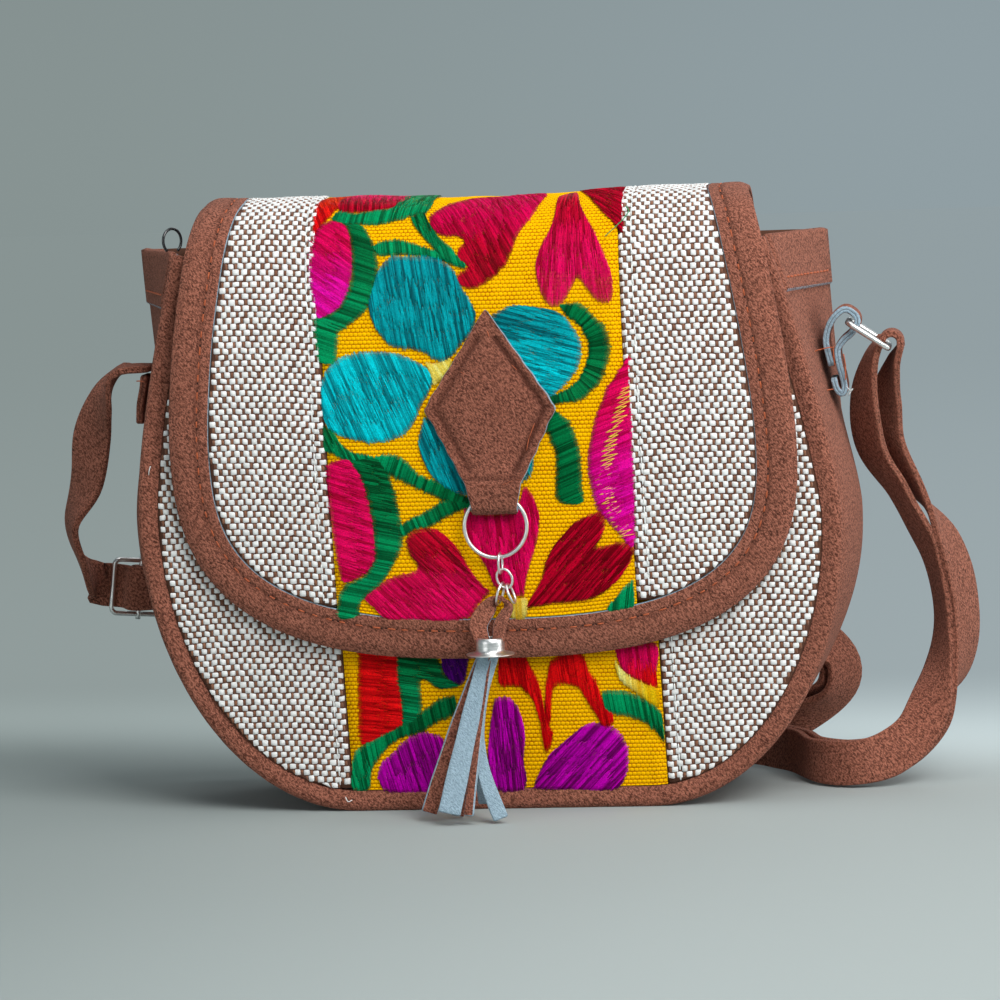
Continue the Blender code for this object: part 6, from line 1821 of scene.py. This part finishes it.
# Heights, as shares of the bag's, over which the layers splay and close again
SPLAY_START = (0.05, 0.17)
SPLAY_END = (0.42, 0.12)
# Waves of its edges: size, and radians over the whole strap
STRAP_WAVES = ((0.00018, 160.0), (0.00012, 410.0))
STRAP_CUT = 0.34
STRAP_PLY = 0.7
# Middle between the two layers as shares of the bag's half width, half depth and height, direction of the
# width, spread of the layers in thicknesses
STRAP_ROUTE = np.array([
    (-1.050, 1.406, 0.360, 0.14, 0.00, 0.99, 1.40), (-1.004, 1.462, 0.356, 0.19, 0.00, 0.98, 1.40),
    (-0.900, 1.500, 0.342, 0.17, 0.00, 0.98, 1.40), (-0.500, 1.480, 0.300, 0.12, 0.00, 0.99, 1.40),
    (0.000, 1.390, 0.275, 0.05, 0.00, 1.00, 1.40), (0.456, 1.390, 0.268, 0.03, 0.03, 1.00, 1.40),
    (0.730, 1.420, 0.258, 0.07, 0.35, 0.93, 1.80), (0.875, 1.430, 0.236, 0.45, 0.58, 0.68, 1.90),
    (0.950, 1.440, 0.195, 0.66, 0.74, 0.10, 1.90), (0.945, 1.470, 0.145, 0.70, 0.71, 0.00, 1.90),
    (0.870, 1.580, 0.105, 0.58, 0.62, -0.53, 1.90), (0.740, 1.760, 0.068, 0.30, 0.25, -0.92, 1.90),
    (0.560, 1.960, 0.048, 0.00, 0.00, -1.00, 1.80), (0.440, 1.900, 0.044, 0.00, 0.00, -1.00, 1.80),
    (0.385, 1.660, 0.044, 0.00, 0.00, -1.00, 1.80), (0.440, 1.430, 0.044, 0.00, 0.00, -1.00, 1.80),
    (0.560, 1.360, 0.044, 0.00, 0.00, -1.00, 1.60), (0.720, 1.350, 0.044, 0.00, 0.00, -1.00, 1.40),
    (0.835, 0.820, 0.044, 0.00, 0.00, -1.00, 1.40), (0.900, 0.200, 0.044, 0.00, 0.00, -1.00, 1.40),
    (1.000, -0.050, 0.045, 0.00, 0.00, -1.00, 1.60), (1.110, 0.060, 0.058, 0.36, -0.16, -0.92, 1.90),
    (1.205, 0.230, 0.105, 0.34, -0.46, -0.82, 2.40), (1.283, 0.420, 0.200, 0.04, -0.94, -0.34, 3.20),
    (1.300, 0.500, 0.305, -0.13, -0.99, 0.00, 3.25), (1.262, 0.460, 0.422, -0.06, -0.98, 0.12, 3.05),
    (1.172, 0.330, 0.530, 0.42, -0.90, 0.10, 2.40), (1.102, 0.190, 0.615, 0.66, -0.75, -0.06, 3.40),
    (1.094, 0.080, 0.700, 0.56, -0.82, -0.12, 3.90), (1.116, 0.010, 0.765, 0.22, -0.97, -0.08, 3.50),
    (1.143, 0.000, 0.800, 0.00, -1.00, 0.00, 3.00),
])
# Single strap from the slide up to where it is sewn to the left side, in the same terms
STRAP_LEFT_ROUTE = np.array([
    (-1.248, 1.134, 0.376, 0.00, 0.00, 1.00), (-1.268, 0.943, 0.394, -0.25, 0.42, 0.86),
    (-1.283, 0.757, 0.435, -0.40, 0.76, 0.45), (-1.290, 0.571, 0.503, -0.38, 0.92, 0.10),
    (-1.232, 0.457, 0.580, -0.80, 0.58, 0.15), (-1.203, 0.343, 0.663, -0.88, 0.40, 0.20),
    (-1.163, 0.200, 0.725, -0.50, 0.70, 0.50), (-1.117, 0.080, 0.770, 0.05, 0.92, 0.38),
    (-1.078, 0.000, 0.788, 0.22, 0.97, 0.08), (-1.002, 0.000, 0.790, 0.00, 1.00, 0.00),
])

route_scale = np.array([BODY_HALF, HALF_DEPTH, BODY_HEIGHT, 1.0, 1.0, 1.0, STRAP_THICK])
hung = STRAP_ROUTE * route_scale
crest = outer_bar + np.array([CREST_OUT, 0.0, CREST_RISE])
height_share = hung[:, 2] / hung[-1, 2]
near = smooth_step((height_share - (1 - CREST_REACH)) / CREST_REACH) * (np.arange(len(hung)) > len(hung) / 2)
hung[:, :3] += near[:, None] * (crest - hung[-1, :3])
doubled = curve_through(hung, STRAP_STEP)
centre, spread = doubled[:, :3], doubled[:, 6]
run = unit(np.gradient(centre, axis=0))
across = unit(doubled[:, 3:6] - run * np.sum(doubled[:, 3:6] * run, axis=1, keepdims=True))
side = np.cross(run, across) * spread[:, None] / 2
side *= -np.sign(side[0, 1])
height = centre[:, 2] / BODY_HEIGHT
opened = smooth_step((height - SPLAY_START[0]) / SPLAY_START[1])
closed = smooth_step((height - SPLAY_END[0]) / SPLAY_END[1])
splay = (SPLAY * opened * (1 - closed) * (centre[:, 0] > BODY_HALF))[:, None]
first_way, second_way = [np.cos(splay) * across + sign * np.sin(splay) * unit(side) for sign in (1, -1)]
first, second = centre - side, centre + side
half = (second[-1, 0] - first[-1, 0]) / 2
angles = np.linspace(math.pi, 0.0, 19)[1:-1]
bow = centre[-1] + np.column_stack([half * np.cos(angles), 0 * angles, abs(half) * np.sin(angles)])
along = unit(centre[1] - centre[0])
ahead = unit(side[0])
bar = centre[0] - along * SLIDE_RUN + ahead * (BAR_SEAT + np.linalg.norm(side[0]))
# Round the slide's middle bar: distance along the strap, and ahead of the bar
turned_end = np.array([
    (0.0010, BAR_SEAT), (-0.0016, 0.0018), (-BAR_SEAT, 0.0), (-0.0016, -0.0019), (0.0006, -0.0027),
])
over_bar = np.array([
    (0.0102, -0.0029), (0.0056, -0.0005), (0.0039, 0.0041), (0.0, BAR_SEAT + STRAP_THICK + GAP),
    (-0.0039, 0.0041), (-0.0056, -0.0005), (-0.0102, -0.0029),
])
hook = curve_through(bar + turned_end[:, :1] * along + turned_end[:, 1:] * ahead, 0.0011)
thread_rows = bar + over_bar[:, :1] * along + over_bar[:, 1:] * ahead
thread_rows = np.vstack([second[:1], thread_rows, thread_rows[-1:] - 0.004 * along - 0.0003 * ahead])
thread_path = curve_through(thread_rows, 0.0012)
left = curve_through(STRAP_LEFT_ROUTE * route_scale[:6], STRAP_STEP)
strap_path = np.vstack([hook, first, bow, second[:0:-1], thread_path, left[1:, :3]])
hook_way, thread_way = [np.tile(across[0], (len(path), 1)) for path in (hook, thread_path)]
level = np.tile([0.0, 1.0, 0.0], (len(bow), 1))
width_way = np.vstack([hook_way, first_way, level, second_way[:0:-1], thread_way, left[1:, 3:6]])
flip = np.cumprod(np.where(np.sum(width_way[1:] * width_way[:-1], axis=1) < 0, -1.0, 1.0))
width_way[1:] *= flip[:, None]
run_share = np.linspace(0.0, 1.0, len(strap_path))
half_width = STRAP_WIDTH / 2 + sum(size * np.sin(run_share * turns) for size, turns in STRAP_WAVES)
points, faces, cut, line, _ = strip_mesh(strap_path, width_way, half_width, STRAP_THICK, 1.0, 1)
strap = new_piece(
    "strap_suede", points, faces, suede_finish, "suede", ["strap"], cut=cut * STRAP_CUT, ply=line * STRAP_PLY
)


# Slide: a frame of nickel wire with a middle bar, which the end of the strap is sewn round. The bar's path
# is bowed by a hair, which gives its wire a way to face.

BAR_WIRE = SLIDE_WIRE * 1.1
BAR_BOW = 1e-6

slide_half = STRAP_WIDTH / 2 + FRAME_CLEARANCE + SLIDE_WIRE / 2
path = frame_path(bar, slide_half, SLIDE_LENGTH / 2, across[0], along, SLIDE_WIRE * CORNER_SHARE)
reach = slide_half + SLIDE_WIRE
bar_path = bar + np.linspace(-reach, reach, 12)[:, None] * across[0]
bar_path = bar_path + np.outer(BAR_BOW * np.sin(np.arange(12)), along)
points, faces = joined([wire_mesh(path, SLIDE_WIRE, 16), wire_mesh(bar_path, BAR_WIRE, 14, False)])
new_piece("strap_slide_nickel", points, faces, nickel_finish, "steel", ["strap_slide"])


# Pull ring: a small open loop of black lacquered wire that stands on the left hem.
# Its ends stop just over the hem, and it is turned partly to the side.

PULL_RADIUS = 0.0042
PULL_WIRE = 0.0010
PULL_PLACE = 0.13
PULL_TURN = (0.60, 0.80)
PULL_OPEN = 0.30 * math.pi
BLACK = (0.012, 0.012, 0.013, 1.0)
BLACK_PALE = (0.030, 0.030, 0.032, 1.0)

black_finish, black_shader, black = new_finish("black wire", Coat_Weight=0.6)
feed(
    black_shader,
    Base_Color=black.noise(0.0012, 2.0).mixed(BLACK, BLACK_PALE),
    Roughness=black.noise(0.0010, 2.0) * 0.2 + 0.15,
)
pull_half = gusset_half(PULL_PLACE, BODY_HEIGHT)
foot_x = float(leaned(-pull_half, BODY_HEIGHT, MOUTH_LEAN)) + SUEDE_WALL * 0.6
foot_y = gusset_depth(BODY_HEIGHT) * (2 * PULL_PLACE - 1)
turn = np.linspace(-PULL_OPEN, math.pi + PULL_OPEN, 48)
loop_rise = BODY_HEIGHT + GAP + PULL_WIRE / 2 + PULL_RADIUS * math.sin(PULL_OPEN)
loop_way = unit(np.array([*PULL_TURN, 0.0]))
path = np.array([foot_x, foot_y, loop_rise]) + np.cos(turn)[:, None] * PULL_RADIUS * loop_way
path = path + np.outer(np.sin(turn), [0.0, 0.0, PULL_RADIUS])
points, faces = wire_mesh(path, PULL_WIRE, 12, False)
new_piece("pull_ring_wire", points, faces, black_finish, "black_wire", ["pull_ring"])


# Loose threads: ends of yarn and sewing thread that stand off the cloth here and there. In millimetres, a
# row of the green one is x, the way down the flap and the lift off it, and of a white one x, y and z.

GREEN_THREAD = np.array([
    (46.0, 101.5, 1.2), (49.5, 99.0, 2.2), (52.5, 95.5, 1.6), (54.0, 92.0, 0.9), (53.0, 90.0, 1.0),
]) * 0.001
WHITE_THREADS = [
    [(-115.3, -37.0, 121.0), (-115.8, -37.5, 119.4), (-116.0, -37.2, 118.0)],
    [(-52.2, -36.9, 5.2), (-51.2, -37.6, 3.6), (-49.8, -37.2, 4.2)],
    [(122.6, -8.4, 140.0), (123.9, -8.8, 138.6), (124.7, -8.4, 139.2), (123.1, -8.2, 136.9)],
]
GREEN_WIRE = 0.00032
WHITE_WIRE = 0.00030
GREEN_DEEP = (0.004, 0.20, 0.06, 1.0)
GREEN_PALE = (0.010, 0.35, 0.11, 1.0)

green_finish = mottled("green thread", GREEN_DEEP, GREEN_PALE, 0.0005, Roughness=0.6)
green_path = curve_through(flap_face(*GREEN_THREAD.T), 0.0008)
loose_threads("loose_green_thread", [green_path], GREEN_WIRE, green_finish, "embroidered_cotton")
white_paths = [curve_through(np.array(rows) * 0.001, 0.0006) for rows in WHITE_THREADS]
loose_threads("loose_white_threads", white_paths, WHITE_WIRE, thread_finish, "linen")
